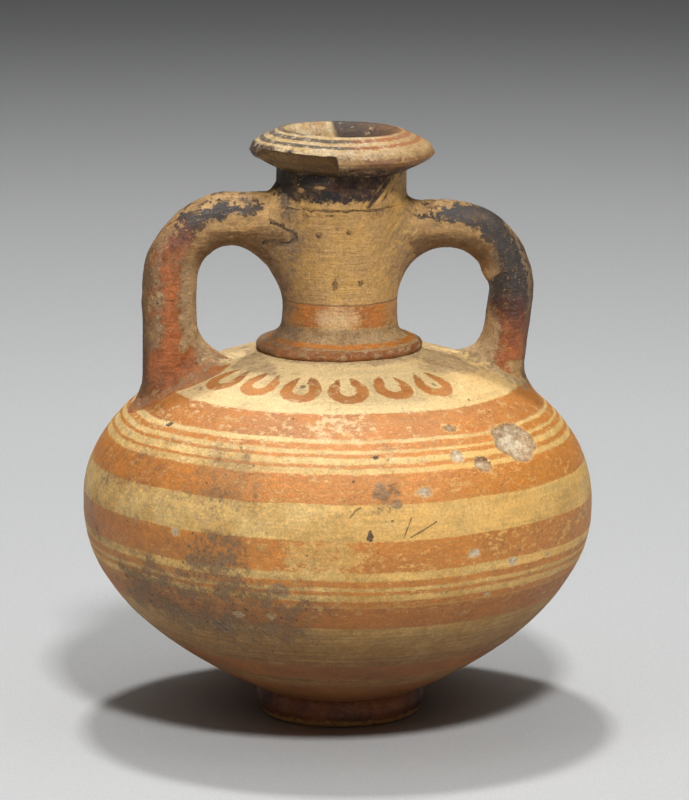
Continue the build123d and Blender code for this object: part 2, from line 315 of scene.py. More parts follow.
# Roughness of what lies on the clay
DARK_ROUGH = 0.6
FILM_ROUGH = 0.8
EARTH_ROUGH = 0.85
PIT_ROUGH = 0.9

# Painted falloff of light on the floor: distance from the flask, share of the floor's colour
FLOOR_LIGHT_FALLOFF = (
    (0.0, 1.0), (320.0, 1.0), (660.0, 0.83), (910.0, 0.63),
    (1150.0, 0.42), (1500.0, 0.28), (2200.0, 0.2),
)


def size(name, description, default):
    """A length that a user can change."""
    return FloatProperty(name=name, description=description, default=default, min=0.0, unit="LENGTH")


def colour(name, description, default):
    """A colour that a user can change, in linear light."""
    return FloatVectorProperty(
        name=name, description=description, default=default, size=3, min=0.0, max=1.0, subtype="COLOR"
    )


def level(name, description, default):
    """How bright white paper shows when it faces a light."""
    return FloatProperty(name=name, description=description, default=default, min=0.0, soft_max=2.0)


def angle(name, description, default):
    """An angle that a user can change, given here in degrees."""
    return FloatProperty(
        name=name, description=description, default=math.radians(default), subtype="ANGLE"
    )


class FLASK_PG_body(bpy.types.PropertyGroup):
    """Sizes of the thrown body and its foot."""

    belly_radius: size("Belly radius", "Radius of the widest circle", BELLY_RADIUS)
    belly_height: size("Belly height", "Height of the widest circle", BELLY_HEIGHT)
    crown_radius: size("Crown radius", "Radius of the hole that the neck is set in", 12.0 * MM)
    crown_height: size("Crown height", "Height of the top of the shoulder", CROWN_HEIGHT)
    foot_radius: size("Foot radius", "Largest radius of the ring foot", FOOT_RADIUS)
    foot_height: size("Foot height", "Height where the flank meets the foot", 5.2 * MM)


class FLASK_PG_neck(bpy.types.PropertyGroup):
    """Sizes of the neck, the throat and the lip."""

    waist_radius: size("Waist radius", "Radius of the neck at its waist", 11.4 * MM)
    waist_rise: size("Waist rise", "Height of the waist above the crown", 8.0 * MM)
    bore_radius: size("Bore radius", "Radius of the pouring way in the neck", 8.0 * MM)
    top_height: size("Neck top", "Height of the seam at the neck's top", NECK_TOP)
    top_radius: size("Neck top radius", "Radius of the neck at its top", NECK_TOP_RADIUS)
    throat_height: size("Throat top", "Height where the throat meets the lip", THROAT_TOP)
    throat_radius: size("Throat radius", "Outer radius of the throat", THROAT_RADIUS)
    lip_height: size("Lip top", "Height of the mouth's crest", LIP_TOP)
    lip_radius: size("Lip radius", "Radius of the lip's edge", LIP_RADIUS)


def handle_group(side, node, top, corner, foot, bend, root, leg):
    """The property group of one handle, with the handle's width from the frame."""
    low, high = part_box(node)
    return type(
        f"FLASK_PG_{side}_handle",
        (bpy.types.PropertyGroup,),
        {
            "__doc__": f"Sizes of the {side} handle.",
            "__annotations__": {
                "top": size("Top", "Height of the coil's middle at its root", top * MM),
                "corner": size("Corner", "How far out the coil's corner lies", corner * MM),
                "foot": size("Foot", "How far out the coil's foot lies", foot * MM),
                "bend": size("Bend", "Radius of the coil's bend", bend * MM),
                "root_thickness": size("Root thickness", "Thickness at the neck", root * MM),
                "leg_thickness": size("Leg thickness", "Thickness at the shoulder", leg * MM),
                "width": size("Width", "Breadth of the coil from front to back", high.y - low.y),
            },
        },
    )


FLASK_PG_left_handle = handle_group("left", "left_handle", 100.9, 34.6, 33.4, 12.0, 10.0, 11.2)
FLASK_PG_right_handle = handle_group("right", "right_handle", 98.8, 35.8, 32.2, 14.0, 9.9, 8.4)


class FLASK_PG_paint(bpy.types.PropertyGroup):
    """Colours of the clay, the slips and what lies on them."""

    # pale is painted sheen: laid where the shoulder, the top band and the neck band catch the light
    pale: colour("Pale cream", "Washed clay of the shoulder", (0.92, 0.70, 0.37))
    cream: colour("Cream", "Clay of the body", (0.86, 0.56, 0.195))
    ochre: colour("Ochre", "Yellower clouds in the pale clay", (0.72, 0.415, 0.115))
    buff: colour("Buff", "Bare clay of the neck and the handles", (0.61, 0.355, 0.13))
    tan: colour("Tan", "Browner clay low on the body", (0.39, 0.17, 0.046))
    orange: colour("Orange slip", "Painted rings and tongues", (0.72, 0.255, 0.04))
    red_brown: colour("Red-brown slip", "Darker rings and the foot", (0.34, 0.10, 0.028))
    rust: colour("Rust slip", "Stripes down the handles", (0.46, 0.135, 0.032))
    dark: colour("Dark slip", "Paint that fired black", (0.055, 0.042, 0.035))
    maroon: colour("Maroon slip", "Paint between black and red", (0.115, 0.034, 0.019))
    film: colour("Film", "Thin brown dirt on the surface", (0.27, 0.135, 0.052))
    crust: colour("Crust", "Grey-brown earth that has hardened", (0.30, 0.20, 0.115))
    soil: colour("Soil", "Dark earth in pits and creases", (0.085, 0.056, 0.036))
    scale: colour("Scale", "Pale tan earth that has hardened", (0.47, 0.31, 0.165))
    bare: colour("Chipped clay", "Clay inside a chip", (0.46, 0.31, 0.17))
    chalk: colour("Chalk", "Pale scuffs", (0.82, 0.69, 0.49))


class FLASK_PG_stage(bpy.types.PropertyGroup):
    """The camera, the lights and the floor."""

    distance: size("Camera distance", "From the camera to the flask", 1.0)
    height: size("Aim height", "Height that the camera looks at", 63.6 * MM)
    aside: size("Aim aside", "How far right of the axis the camera looks", 0.9 * MM)
    elevation: angle("Elevation", "The camera's height above the horizon", 11.2)
    azimuth: angle("Azimuth", "The camera's turn round the flask", VIEW_TURN)
    lens: FloatProperty(name="Lens", description="Focal length", default=225.0, unit="CAMERA")
    floor: colour("Floor", "Paper that the flask stands on", (0.512, 0.518, 0.517))
    front_level: level("Front lamp", "Level of the lamp above the camera", 0.76)
    top_level: level("Top lamp", "Level of the lamp overhead", 0.58)
    sky_level: level("Sky", "Level of the broad light high above", 0.16)
    fill_level: level("Fill", "Level of each broad light at the sides", 0.075)
    room_level: level("Room", "Level of the light from all round", 0.02)


def millimetres(group, *names):
    """Sizes from a property group, in millimetres."""
    return [getattr(group, name) / MM for name in names]


def bezier(*points):
    """A curve through its control points' hull, as many points."""
    share = np.linspace(0, 1, CURVE_POINTS)[:, None]
    rows = [np.asarray(point, float) + 0 * share for point in points]
    while len(rows) > 1:
        rows = [start + (end - start) * share for start, end in zip(rows, rows[1:])]
    return rows[0]


def arc(start, middle, end):
    """The circular arc through three points, as many points."""
    start, middle, end = (np.asarray(point, float) for point in (start, middle, end))
    sides = 2 * np.array([middle - start, end - start])
    squares = np.array([middle @ middle - start @ start, end @ end - start @ start])
    centre = np.linalg.solve(sides, squares)
    turns = [math.atan2(*(point - centre)[::-1]) for point in (start, middle, end)]
    sweep = np.unwrap(turns)
    way = np.linspace(sweep[0], sweep[2], CURVE_POINTS)
    radius = np.linalg.norm(start - centre)
    return centre + radius * np.column_stack([np.cos(way), np.sin(way)])


def line(*corners):
    """A run of straight stretches."""
    return np.array(corners, float)


def rounded(before, corner, after, radius):
    """A short curve that eases a corner between two points."""
    before, corner, after = (np.asarray(point, float) for point in (before, corner, after))
    start = corner + unit(before - corner) * radius
    end = corner + unit(after - corner) * radius
    return bezier(start, corner, end)


def unit(vectors):
    """Vectors brought to a length of 1."""
    return vectors / np.linalg.norm(vectors, axis=-1, keepdims=True)


def radius_of(points):
    """The distance of each point from the axis."""
    return np.hypot(points[:, 0], points[:, 1])


def ring_angles(count):
    """Angles of points set evenly round a circle."""
    return np.arange(count) * 2 * math.pi / count


def along_line(points):
    """The distance from a line's start to each of its points."""
    gaps = np.linalg.norm(np.diff(points, axis=0), axis=1)
    return np.concatenate([[0], np.cumsum(gaps)])


def at_stops(stops, along, points):
    """The places on a line at distances from its start."""
    return np.column_stack([np.interp(stops, along, points[:, axis]) for axis in (0, 1)])


def respaced(points, step):
    """A line's points set evenly, with one more close to each end."""
    along = along_line(points)
    count = max(2, round(along[-1] / step))
    stops = np.linspace(0, along[-1], count + 1)
    stops = np.concatenate([[0, HAIR], stops[1:-1], [along[-1] - HAIR, along[-1]]])
    return at_stops(stops, along, points)


def hidden(*corners):
    """A straight run that isn't seen, so its points lie far apart."""
    return respaced(line(*corners), HIDDEN_STEP)


def clay_noise(points, lump, seed):
    """Smooth noise from -1 to 1 at each point, with lumps of about the given size."""
    count = 32
    lattice = np.random.default_rng(seed).uniform(-1, 1, (count, count, count))
    place = points / lump + count
    cell = np.floor(place).astype(int)
    share = place - cell
    share = share**3 * (share * (share * 6 - 15) + 10)
    total = np.zeros(len(points))
    for corner in itertools.product((0, 1), repeat=3):
        weight = np.prod(np.where(corner, share, 1 - share), axis=1)
        total += weight * lattice[tuple(((cell + corner) % count).T)]
    return total


def layered_noise(points, *layers):
    """The sum of noises, from rows of reach, size of the lumps and seed."""
    return sum(reach * clay_noise(points, lump, seed) for reach, lump, seed in layers)


def smooth(values, low, high):
    """An eased step from 0 at low to 1 at high."""
    share = np.clip((values - low) / (high - low), 0, 1)
    return share * share * (3 - 2 * share)


def turn_of(points):
    """The turn of each point from the middle of the photographed side, from -180 to 180 degrees."""
    turn = np.degrees(np.arctan2(points[:, 0], -points[:, 1])) - VIEW_TURN
    return (turn + 180) % 360 - 180


def handmade(points):
    """Where each point of the evenly turned shape lies on the slightly uneven pot."""
    moved = points.copy()
    height = points[:, 2]
    turn = turn_of(points)
    radius = radius_of(points)
    fuller = FULLER * np.exp(-(((turn - FULLER_TURN) / FULLER_SPREAD) ** 2))
    fuller *= smooth(height, 43, 52) * smooth(height, 72, 64)
    slimmer = SLIMMER * smooth(height, 8, 16) * smooth(height, 36, 28)
    stretch = 1 + (fuller - slimmer) / np.maximum(radius, WALL) * smooth(radius, 12, 24)
    moved[:, :2] *= stretch[:, None]
    moved[:, 0] += np.interp(height, LEAN_HEIGHTS, LEAN_SHIFTS)
    moved[:, 2] += LIP_RISE * smooth(height, 100, 114)
    moved[:, 2] -= LIP_TILT * points[:, 0] * smooth(height, 104, 112)
    settled = smooth(height, 0.5, 6)
    for axis in range(3):
        layers = [(reach, lump, seed + axis) for reach, lump, seed in WANDER]
        moved[:, axis] += layered_noise(points, *layers) * settled
    return moved


def surface_spots(points, turn, height, width, tall):
    """How far each point lies from a spot's middle on the body, where 1 is the spot's edge."""
    away = (turn_of(points) - turn + 180) % 360 - 180
    radius = radius_of(points)
    across = np.radians(away) * radius
    near = np.argmin(np.abs(points[:, 2] - height) + np.abs(across))
    upward = np.hypot(points[:, 2] - height, radius - radius[near])
    return np.hypot(across / (width / 2), upward / (tall / 2))


def weathered_body(points, normals, outside):
    """Moves the body's outer points in at its chips and out at its lumps, and returns both marks."""
    count = len(points)
    marks = {"chip": np.full(count, NO_CHIP), "lump": np.full(count, NO_LUMP), "chalk": np.zeros(count)}
    depth = 0.05 * clay_noise(points * (0.12, 0.12, 1.0), 2.6, 31) * outside
    ragged = layered_noise(points, (0.13, 1.6, 32), (0.12, 4.0, 33))
    for turn, height, width, tall, deep, paleness in CHIPS:
        reach = surface_spots(points, turn, height, width, tall) + ragged
        near = outside & (reach < CHIP_REACH)
        marks["chip"][near] = np.maximum(marks["chip"][near], (1 - reach[near]) * tall / 2)
        marks["chalk"][near] = paleness
        floor = 0.85 + 0.3 * clay_noise(points[near], 1.5, 34)
        depth[near] -= deep * smooth(reach[near], 1.03, 0.5) * floor
    for turn, height, width, tall, rise in LUMPS:
        reach = surface_spots(points, turn, height, width, tall) + 2.2 * ragged
        near = outside & (reach < CHIP_REACH)
        marks["lump"][near] = np.maximum(marks["lump"][near], 1 - reach[near])
        bumps = 0.6 + 0.6 * clay_noise(points[near], 0.9, 35)
        depth[near] += rise * smooth(reach[near], 1.1, 0.4) * bumps
    return points + normals * depth[:, None], marks


def flaked_lip(points, normals, outside):
    """Breaks the flake off under the lip, roughens the lip's edge, and returns the flake's mark too."""
    turn = turn_of(points)
    radius = radius_of(points)
    ragged = clay_noise(points, 1.5, 41)
    away = smooth(turn + 2 * ragged, FLAKE_START - 8, FLAKE_START + 12)
    away *= smooth(turn, FLAKE_END, FLAKE_END - 2.2)
    outward, upward = FLAKE_FACING
    beyond = (radius - (LIP_RADIUS / MM - FLAKE_INSET)) * outward
    beyond += (points[:, 2] - (LIP_TOP / MM - FLAKE_DROP)) * upward
    beyond = np.maximum(beyond + 0.18 * ragged, 0) * away * outside
    moved = points.copy()
    moved[:, :2] -= points[:, :2] / radius[:, None] * (beyond * outward)[:, None]
    moved[:, 2] -= beyond * upward
    near_edge = smooth(radius, 15.5, 17.5) * outside
    rough = layered_noise(points, (0.12, 1.1, 42), (0.10, 2.8, 43))
    return moved + normals * (rough * near_edge)[:, None], smooth(beyond, 0.08, 0.35)


def strip(here, there, low, high, columns):
    """Faces between two rows of points that close round, and their places on an unrolled sheet.

    A row is given by its first point and by whether it is a ring of points or one point on the axis.
    """
    step = np.arange(columns)
    after = (step + 1) % columns
    left, right = step / columns, (step + 1) / columns
    (first, ring), (other, other_ring) = here, there
    corners = [
        (first + step * ring, left, low),
        (first + after * ring, right, low),
        (other + after * other_ring, right, high),
        (other + step * other_ring, left, high),
    ]
    if not ring:
        del corners[1]
    elif not other_ring:
        del corners[2]
    faces = np.column_stack([number for number, _, _ in corners]).tolist()
    spots = [np.column_stack([across, np.full(columns, up)]) for _, across, up in corners]
    return faces, np.stack(spots, axis=1).reshape(-1, 2)


def turned(runs, segments):
    """A closed outline turned about the axis.

    The outline is a list of runs of (radius, height) points that go up the outside and down the
    inside. Returns the vertices, the faces, each vertex's normal and outside mark, and the faces'
    places on the unrolled outline. The first run is the outside.
    """
    rows = np.vstack([run[:-1] for run in runs] + [runs[-1][-1:]])
    closed = np.allclose(rows[0], rows[-1])
    if closed:
        rows = rows[:-1]
    ahead, behind = np.roll(rows, -1, axis=0), np.roll(rows, 1, axis=0)
    if not closed:
        ahead[-1], behind[0] = rows[-1], rows[0]
    way = ahead - behind
    way /= np.maximum(np.linalg.norm(way, axis=1), 1e-9)[:, None]
    around = ring_angles(segments)
    circle = np.column_stack([np.sin(around), -np.cos(around)])
    vertices, normals, first = [], [], []
    count = 0
    for (radius, height), (rise_out, rise_up) in zip(rows, way):
        first.append(count)
        spokes = circle if radius > ON_AXIS else np.zeros((1, 2))
        level_row = np.full((len(spokes), 1), height)
        vertices.append(np.hstack([spokes * radius, level_row]))
        normals.append(np.hstack([spokes * rise_up, np.full((len(spokes), 1), -rise_out)]))
        count += len(spokes)
    outside = np.zeros(count, bool)
    outer_rows = len(runs[0])
    outside[: first[outer_rows] if outer_rows < len(first) else count] = True
    faces, places = [], []
    unrolled = along_line(np.vstack([rows, rows[:1]]))
    unrolled /= unrolled[-1]
    for row in range(len(rows) if closed else len(rows) - 1):
        ends = [(first[one], rows[one, 0] > ON_AXIS) for one in (row, (row + 1) % len(rows))]
        made, spots = strip(*ends, unrolled[row], unrolled[row + 1], segments)
        faces += made
        places.append(spots)
    return np.vstack(vertices), faces, np.vstack(normals), outside, np.vstack(places)


def grid(rows, columns):
    """Faces of rows of points that close round both ways, with their places on the unrolled sheet."""
    faces, places = [], []
    for row in range(rows):
        ends = [(one * columns, True) for one in (row, (row + 1) % rows)]
        made, spots = strip(*ends, row / rows, (row + 1) / rows, columns)
        faces += made
        places.append(spots)
    return faces, np.vstack(places)


def make_piece(name, node, slot, vertices, faces, places, material, **marks):
    """Makes one mesh piece that stands for a CAD node and rides on the flask."""
    mesh = bpy.data.meshes.new(name)
    mesh.from_pydata((handmade(vertices) * MM).tolist(), [], faces)
    mesh.validate()
    mesh.shade_smooth()
    mesh.set_sharp_from_angle(angle=SHARP_ANGLE)
    mesh.uv_layers.new(name="OFBake").data.foreach_set("uv", places.astype(np.float32).ravel())
    for mark, values in marks.items():
        attribute = mesh.attributes.new(mark, "FLOAT", "POINT")
        attribute.data.foreach_set("value", np.asarray(values, np.float32))
    mesh.materials.append(material)
    piece = bpy.data.objects.new(name, mesh)
    bpy.context.scene.collection.objects.link(piece)
    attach(piece, "root")
    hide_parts(node)
    return piece


def body_lines(body):
    """The outer and inner lines of the flank and the shoulder, from the belly out, in millimetres."""
    belly_radius, belly_height, crown_radius, crown_height, foot_height = millimetres(
        body, "belly_radius", "belly_height", "crown_radius", "crown_height", "foot_height"
    )
    belly, crown = np.array([belly_radius, belly_height]), np.array([crown_radius, crown_height])
    flank_end = np.array([FLANK_RADIUS, foot_height])
    flank_way = np.array([math.cos(FLANK_SLOPE), math.sin(FLANK_SLOPE)])
    crown_way = np.array([math.cos(CROWN_SLOPE), -math.sin(CROWN_SLOPE)])
    up = np.array([0.0, 1.0])
    lines = {}
    for name, inset in (("outer", 0.0), ("inner", WALL)):
        start = belly - (inset, 0)
        low = flank_end + inset * np.array([-flank_way[1], flank_way[0]])
        high = crown - inset * np.array([-crown_way[1], crown_way[0]])
        into_foot, into_crown = low + flank_way * FLANK_REACH, high + crown_way * SHOULDER_REACH
        lines[f"{name}_flank"] = bezier(start, start - up * FLANK_PULL, into_foot, low)
        lines[f"{name}_shoulder"] = bezier(start, start + up * SHOULDER_PULL, into_crown, high)
    return lines


def neck_line(body, neck):
    """The outer line of the neck, from the crown up to the seam below the throat."""
    crown_radius, crown_height = millimetres(body, "crown_radius", "crown_height")
    waist_radius, waist_rise, top_radius, top_height = millimetres(
        neck, "waist_radius", "waist_rise", "top_radius", "top_height"
    )
    waist = (waist_radius, crown_height + waist_rise)
    return arc((crown_radius, crown_height), waist, (top_radius, top_height))


def collar_lines(body, neck):
    """The collar's outer line from the shoulder up to the neck, and the lines that it is pressed on."""
    crown_radius, crown_height = millimetres(body, "crown_radius", "crown_height")
    shoulder = body_lines(body)["outer_shoulder"]
    ridge = np.array([crown_radius + COLLAR_REACH, crown_height + COLLAR_LIFT])
    neck_side = neck_line(body, neck)
    neck_side = neck_side[neck_side[:, 1] <= crown_height + COLLAR_LENGTH]
    top = neck_side[-1]
    hollow = np.array([top[0], ridge[1] + COLLAR_HOLLOW])
    seat = shoulder[shoulder[:, 0] <= ridge[0] - COLLAR_FOOT]
    under = arc(seat[0], (ridge + seat[0]) / 2 + (COLLAR_FOOT, 0), ridge)
    upper = bezier(ridge, ridge + (0, COLLAR_HOLLOW), hollow, top)
    return np.vstack([under, upper[1:]]), neck_side[::-1], seat[::-1]


def vessel_line(body, neck):
    """The vessel's outer line from the belly up to the lip, with the collar and the throat."""
    shoulder = body_lines(body)["outer_shoulder"]
    collar = collar_lines(body, neck)[0]
    side = neck_line(body, neck)
    throat_radius, throat_height = millimetres(neck, "throat_radius", "throat_height")
    throat = line((throat_radius, side[-1, 1]), (throat_radius, throat_height))
    whole = np.vstack(
        [shoulder[shoulder[:, 0] > collar[0, 0]], collar, side[side[:, 1] > collar[-1, 1]], throat]
    )
    along = along_line(whole)
    stops = np.arange(0, along[-1], NECK_STEP / 2)
    return at_stops(stops, along, whole), stops


class Vessel:
    """The vessel's outer surface, to find how far points lie from it and to walk along it."""

    def __init__(self, body, neck):
        self.line, self.along = vessel_line(body, neck)
        self.way = unit(np.gradient(self.line, axis=0))

    def nearest(self, points):
        """The nearest stop along the vessel's line, and the signed distance from it."""
        flat = np.column_stack([radius_of(points), points[:, 2]])
        best = np.array([np.argmin(((self.line - point) ** 2).sum(axis=1)) for point in flat])
        way = self.way[best]
        offset = flat - self.line[best]
        return best, offset[:, 0] * way[:, 1] - offset[:, 1] * way[:, 0]

    def at(self, around, along):
        """Points at angles from the front and distances along the line, with both directions there."""
        radius, height, out, rise = (
            np.interp(along, self.along, values) for values in (*self.line.T, *self.way.T)
        )
        sine, cosine = np.sin(around), -np.cos(around)
        points = np.column_stack([radius * sine, radius * cosine, height])
        sideways = np.column_stack([-cosine, sine, 0 * sine])
        upward = np.column_stack([out * sine, out * cosine, rise])
        return points, sideways, upward, radius


class Coil:
    """A rolled clay handle: an oval section along a route that goes out, bends and comes down."""

    def __init__(self, side, sizes, vessel, neck):
        top, corner, foot, bend, self.root, self.leg, self.width = millimetres(
            sizes, "top", "corner", "foot", "bend", "root_thickness", "leg_thickness", "width"
        )
        bore, = millimetres(neck, "bore_radius")
        shoulder = np.interp(-foot, -vessel.line[:, 0], vessel.line[:, 1])
        start, turn, end = np.array([(bore, top), (corner, top), (foot, shoulder - 2 * WALL)])
        back, onward = unit(start - turn), unit(end - turn)
        half = math.acos(back @ onward) / 2
        reach = bend / math.tan(half)
        centre = turn + unit(back + onward) * bend / math.sin(half)
        outermost = centre + unit(turn - centre) * bend
        route = np.vstack([start, arc(turn + back * reach, outermost, turn + onward * reach), end])
        along = along_line(route)
        self.length = along[-1]
        self.stops = np.linspace(0, self.length, CURVE_POINTS)
        self.route = at_stops(self.stops, along, route)
        self.way = unit(np.gradient(self.route, axis=0))
        self.side = side
        self.vessel = vessel

    def at(self, along, around):
        """Points of the coil at distances along it and angles round it, where 0 is its outer side."""
        x, z, way_x, way_z = (
            np.interp(along, self.stops, values) for values in (*self.route.T, *self.way.T)
        )
        half_thick = (self.root + (self.leg - self.root) * along / self.length) / 2
        swell = half_thick * np.cos(around)
        return np.column_stack(
            [self.side * (x - way_z * swell), -self.width / 2 * np.sin(around), z + way_x * swell]
        )

    def meets(self, around, depth, at_foot):
        """How far along the coil each of its lines reaches a depth outside the vessel."""
        near, far = (FOOT_SEARCH, 1.0) if at_foot else (ROOT_SEARCH, 0.0)
        samples = np.linspace(near * self.length, far * self.length, SEARCH_STEPS)
        met = []
        for one in around:
            distance = self.vessel.nearest(self.at(samples, np.full(len(samples), one)))[1] - depth
            inside = np.argmax(distance < 0)
            if inside == 0:
                raise RuntimeError("a handle doesn't reach the vessel")
            before, after = distance[inside - 1], distance[inside]
            share = before / (before - after)
            met.append(samples[inside - 1] + (samples[inside] - samples[inside - 1]) * share)
        return np.array(met)


class Field:
    """A value that varies over a surface.

    Arithmetic on it adds nodes, | takes the larger of two values and ~ what is left of 1.
    """

    def __init__(self, bench, socket):
        self.bench, self.socket = bench, socket

    def __add__(self, other):
        return self.bench.math("ADD", self, other)

    def __sub__(self, other):
        return self.bench.math("SUBTRACT", self, other)

    def __rsub__(self, other):
        return self.bench.math("SUBTRACT", other, self)

    def __mul__(self, other):
        return self.bench.math("MULTIPLY", self, other)

    def __truediv__(self, other):
        return self.bench.math("DIVIDE", self, other)

    def __or__(self, other):
        return self.bench.math("MAXIMUM", self, other)

    def __abs__(self):
        return self.bench.math("ABSOLUTE", self)

    def __invert__(self):
        return 1.0 - self

    __radd__ = __add__
    __rmul__ = __mul__

    def step(self, low, high):
        """An eased step from 0 at low to 1 at high, which may lie either way round."""
        made = self.bench.node("ShaderNodeMapRange", interpolation_type="SMOOTHSTEP")
        for name, value in (("Value", self), ("From Min", low), ("From Max", high)):
            self.bench.feed(made.inputs[name], value)
        return Field(self.bench, made.outputs["Result"])

    def between(self, start, full, fading, end):
        """A band with eased edges: 0 before its start, 1 while it is full and 0 past its end."""
        return self.step(start, full) * self.step(end, fading)


class Bench:
    """One material's node tree, with the places on the flask that its layers are set out by."""

    def __init__(self, name):
        self.material = bpy.data.materials.new(name)
        self.material.use_nodes = True
        self.tree = self.material.node_tree
        self.tree.nodes.clear()
        self.paint = bpy.context.scene.flask_paint
        source = self.node("ShaderNodeTexCoord").outputs["Object"]
        self.place = self.vector("MULTIPLY", Field(self, source), (1 / MM,) * 3)
        self.x, self.y, self.z = self.split(self.place, "ShaderNodeSeparateXYZ")
        self.radius = self.math("SQRT", self.x * self.x + self.y * self.y)
        self.turn = self.math("DEGREES", self.math("ARCTAN2", self.x, self.y * -1.0)) - VIEW_TURN

    def node(self, kind, **settings):
        made = self.tree.nodes.new(kind)
        for name, value in settings.items():
            setattr(made, name, value)
        return made

    def feed(self, socket, value):
        """Links a field to a socket, or sets the socket to a constant."""
        if isinstance(value, Field):
            self.tree.links.new(value.socket, socket)
        elif socket.type == "RGBA":
            socket.default_value = (*value, 1.0)
        else:
            socket.default_value = value

    def math(self, operation, *values):
        made = self.node("ShaderNodeMath", operation=operation)
        for socket, value in zip(made.inputs, values):
            self.feed(socket, value)
        return Field(self, made.outputs[0])

    def vector(self, operation, *values):
        made = self.node("ShaderNodeVectorMath", operation=operation)
        for socket, value in zip(made.inputs, values):
            self.feed(socket, value)
        return Field(self, made.outputs[0])

    def split(self, field, kind="ShaderNodeSeparateColor"):
        made = self.node(kind)
        self.feed(made.inputs[0], field)
        return [Field(self, socket) for socket in made.outputs]

    def attribute(self, name):
        return Field(self, self.node("ShaderNodeAttribute", attribute_name=name).outputs["Fac"])

    def blend(self, share, low, high):
        """A colour between two colours."""
        made = self.node("ShaderNodeMix", data_type="RGBA")
        for socket, value in zip((made.inputs[0], made.inputs[6], made.inputs[7]), (share, low, high)):
            self.feed(socket, value)
        return Field(self, made.outputs[2])

    def shaded(self, tint, factor):
        """A colour made lighter or darker by a factor."""
        made = self.node("ShaderNodeVectorMath", operation="SCALE")
        self.feed(made.inputs[0], tint)
        self.feed(made.inputs["Scale"], factor)
        return Field(self, made.outputs[0])

    def ramp(self, value, stops):
        """Colours at places along a value, from the first stop to the last."""
        low, high = stops[0][0], stops[-1][0]
        made = self.node("ShaderNodeValToRGB")
        self.feed(made.inputs[0], (value - low) / (high - low))
        elements = made.color_ramp.elements
        while len(elements) < len(stops):
            elements.new(1.0)
        for element, (place, tint) in zip(elements, stops):
            element.position = (place - low) / (high - low)
            element.color = (*tint, 1.0)
        return Field(self, made.outputs["Color"])

    def noise(self, lump, detail=4.0, roughness=0.6, stretch=(1, 1, 1), shift=0.0, place=None):
        """Cloudy noise mostly from -1 to 1, with lumps of about the given size in millimetres.

        Each shift gives another cloud.
        """
        made = self.node("ShaderNodeTexNoise")
        scaled = tuple(share / lump for share in stretch)
        spot = self.vector("MULTIPLY_ADD", place or self.place, scaled, (shift,) * 3)
        self.feed(made.inputs["Vector"], spot)
        for name, value in (("Scale", 1.0), ("Detail", detail), ("Roughness", roughness)):
            made.inputs[name].default_value = value
        octaves = [roughness**one for one in range(int(detail) + 1)]
        return (Field(self, made.outputs[0]) - 0.5) * (3.0 * sum(octaves) / math.hypot(*octaves))

    def stippled(self, share, lump, shift):
        """Ragged specks that close up to a full cover as a share goes from 0 to 1."""
        return (self.noise(lump, 8.0, 0.7, shift=shift) + 2.2 * share - 1.3).step(0.0, 0.3)

    def specks(self, spacing, radius, shift):
        """Round specks scattered about a spacing, 1 at a speck's middle."""
        made = self.node("ShaderNodeTexVoronoi")
        spot = self.vector("MULTIPLY_ADD", self.place, (1 / spacing,) * 3, (shift,) * 3)
        self.feed(made.inputs["Vector"], spot)
        made.inputs["Scale"].default_value = 1.0
        share = radius / spacing
        ragged = 0.7 * share * self.noise(0.5, 4.0, 0.7, shift=shift)
        return (Field(self, made.outputs["Distance"]) + ragged).step(share, 0.3 * share)

    def turn_from(self, turn):
        """The turn from a given turn, from -180 to 180 degrees."""
        return self.math("WRAP", self.turn - turn, 180.0, -180.0)

    def glow(self, turn, height, half_turn, half_height):
        """A share that fades from 1 at a place on the pot's side to 0 past its edge."""
        across = self.turn_from(turn) / half_turn
        upward = (self.z - height) / half_height
        return (across * across + upward * upward).step(1.7, 0.1)

    def glows(self, rows):
        """The sum of glows, from rows of strength, turn, height, half turn and half height."""
        first, *others = (strength * self.glow(*place) for strength, *place in rows)
        return sum(others, first)

    def dab(self, turn, radius, half, ragged):
        """A small dab on the shoulder, at a turn and a distance from the axis."""
        across = self.turn_from(turn) * math.radians(radius)
        inward = self.radius - radius
        away = self.math("SQRT", across * across + inward * inward)
        return (away + ragged).step(half + 0.15, half - 0.15)

    def stroke(self, across, upward, points, half_width):
        """A line along points on a sheet, 1 in its middle."""
        nearest = None
        for (start_x, start_y), (end_x, end_y) in zip(points, points[1:]):
            length = math.hypot(end_x - start_x, end_y - start_y)
            way_x, way_y = (end_x - start_x) / length, (end_y - start_y) / length
            off_x, off_y = across - start_x, upward - start_y
            ahead = off_x * way_x + off_y * way_y
            aside = off_y * way_x - off_x * way_y
            past = ahead - self.math("MINIMUM", ahead | 0.0, length)
            gap = self.math("SQRT", past * past + aside * aside)
            nearest = gap if nearest is None else self.math("MINIMUM", nearest, gap)
        ragged = 0.5 * half_width * self.noise(1.2, 3.0, 0.6, shift=91.0)
        return (nearest + ragged).step(1.3 * half_width, 0.5 * half_width)


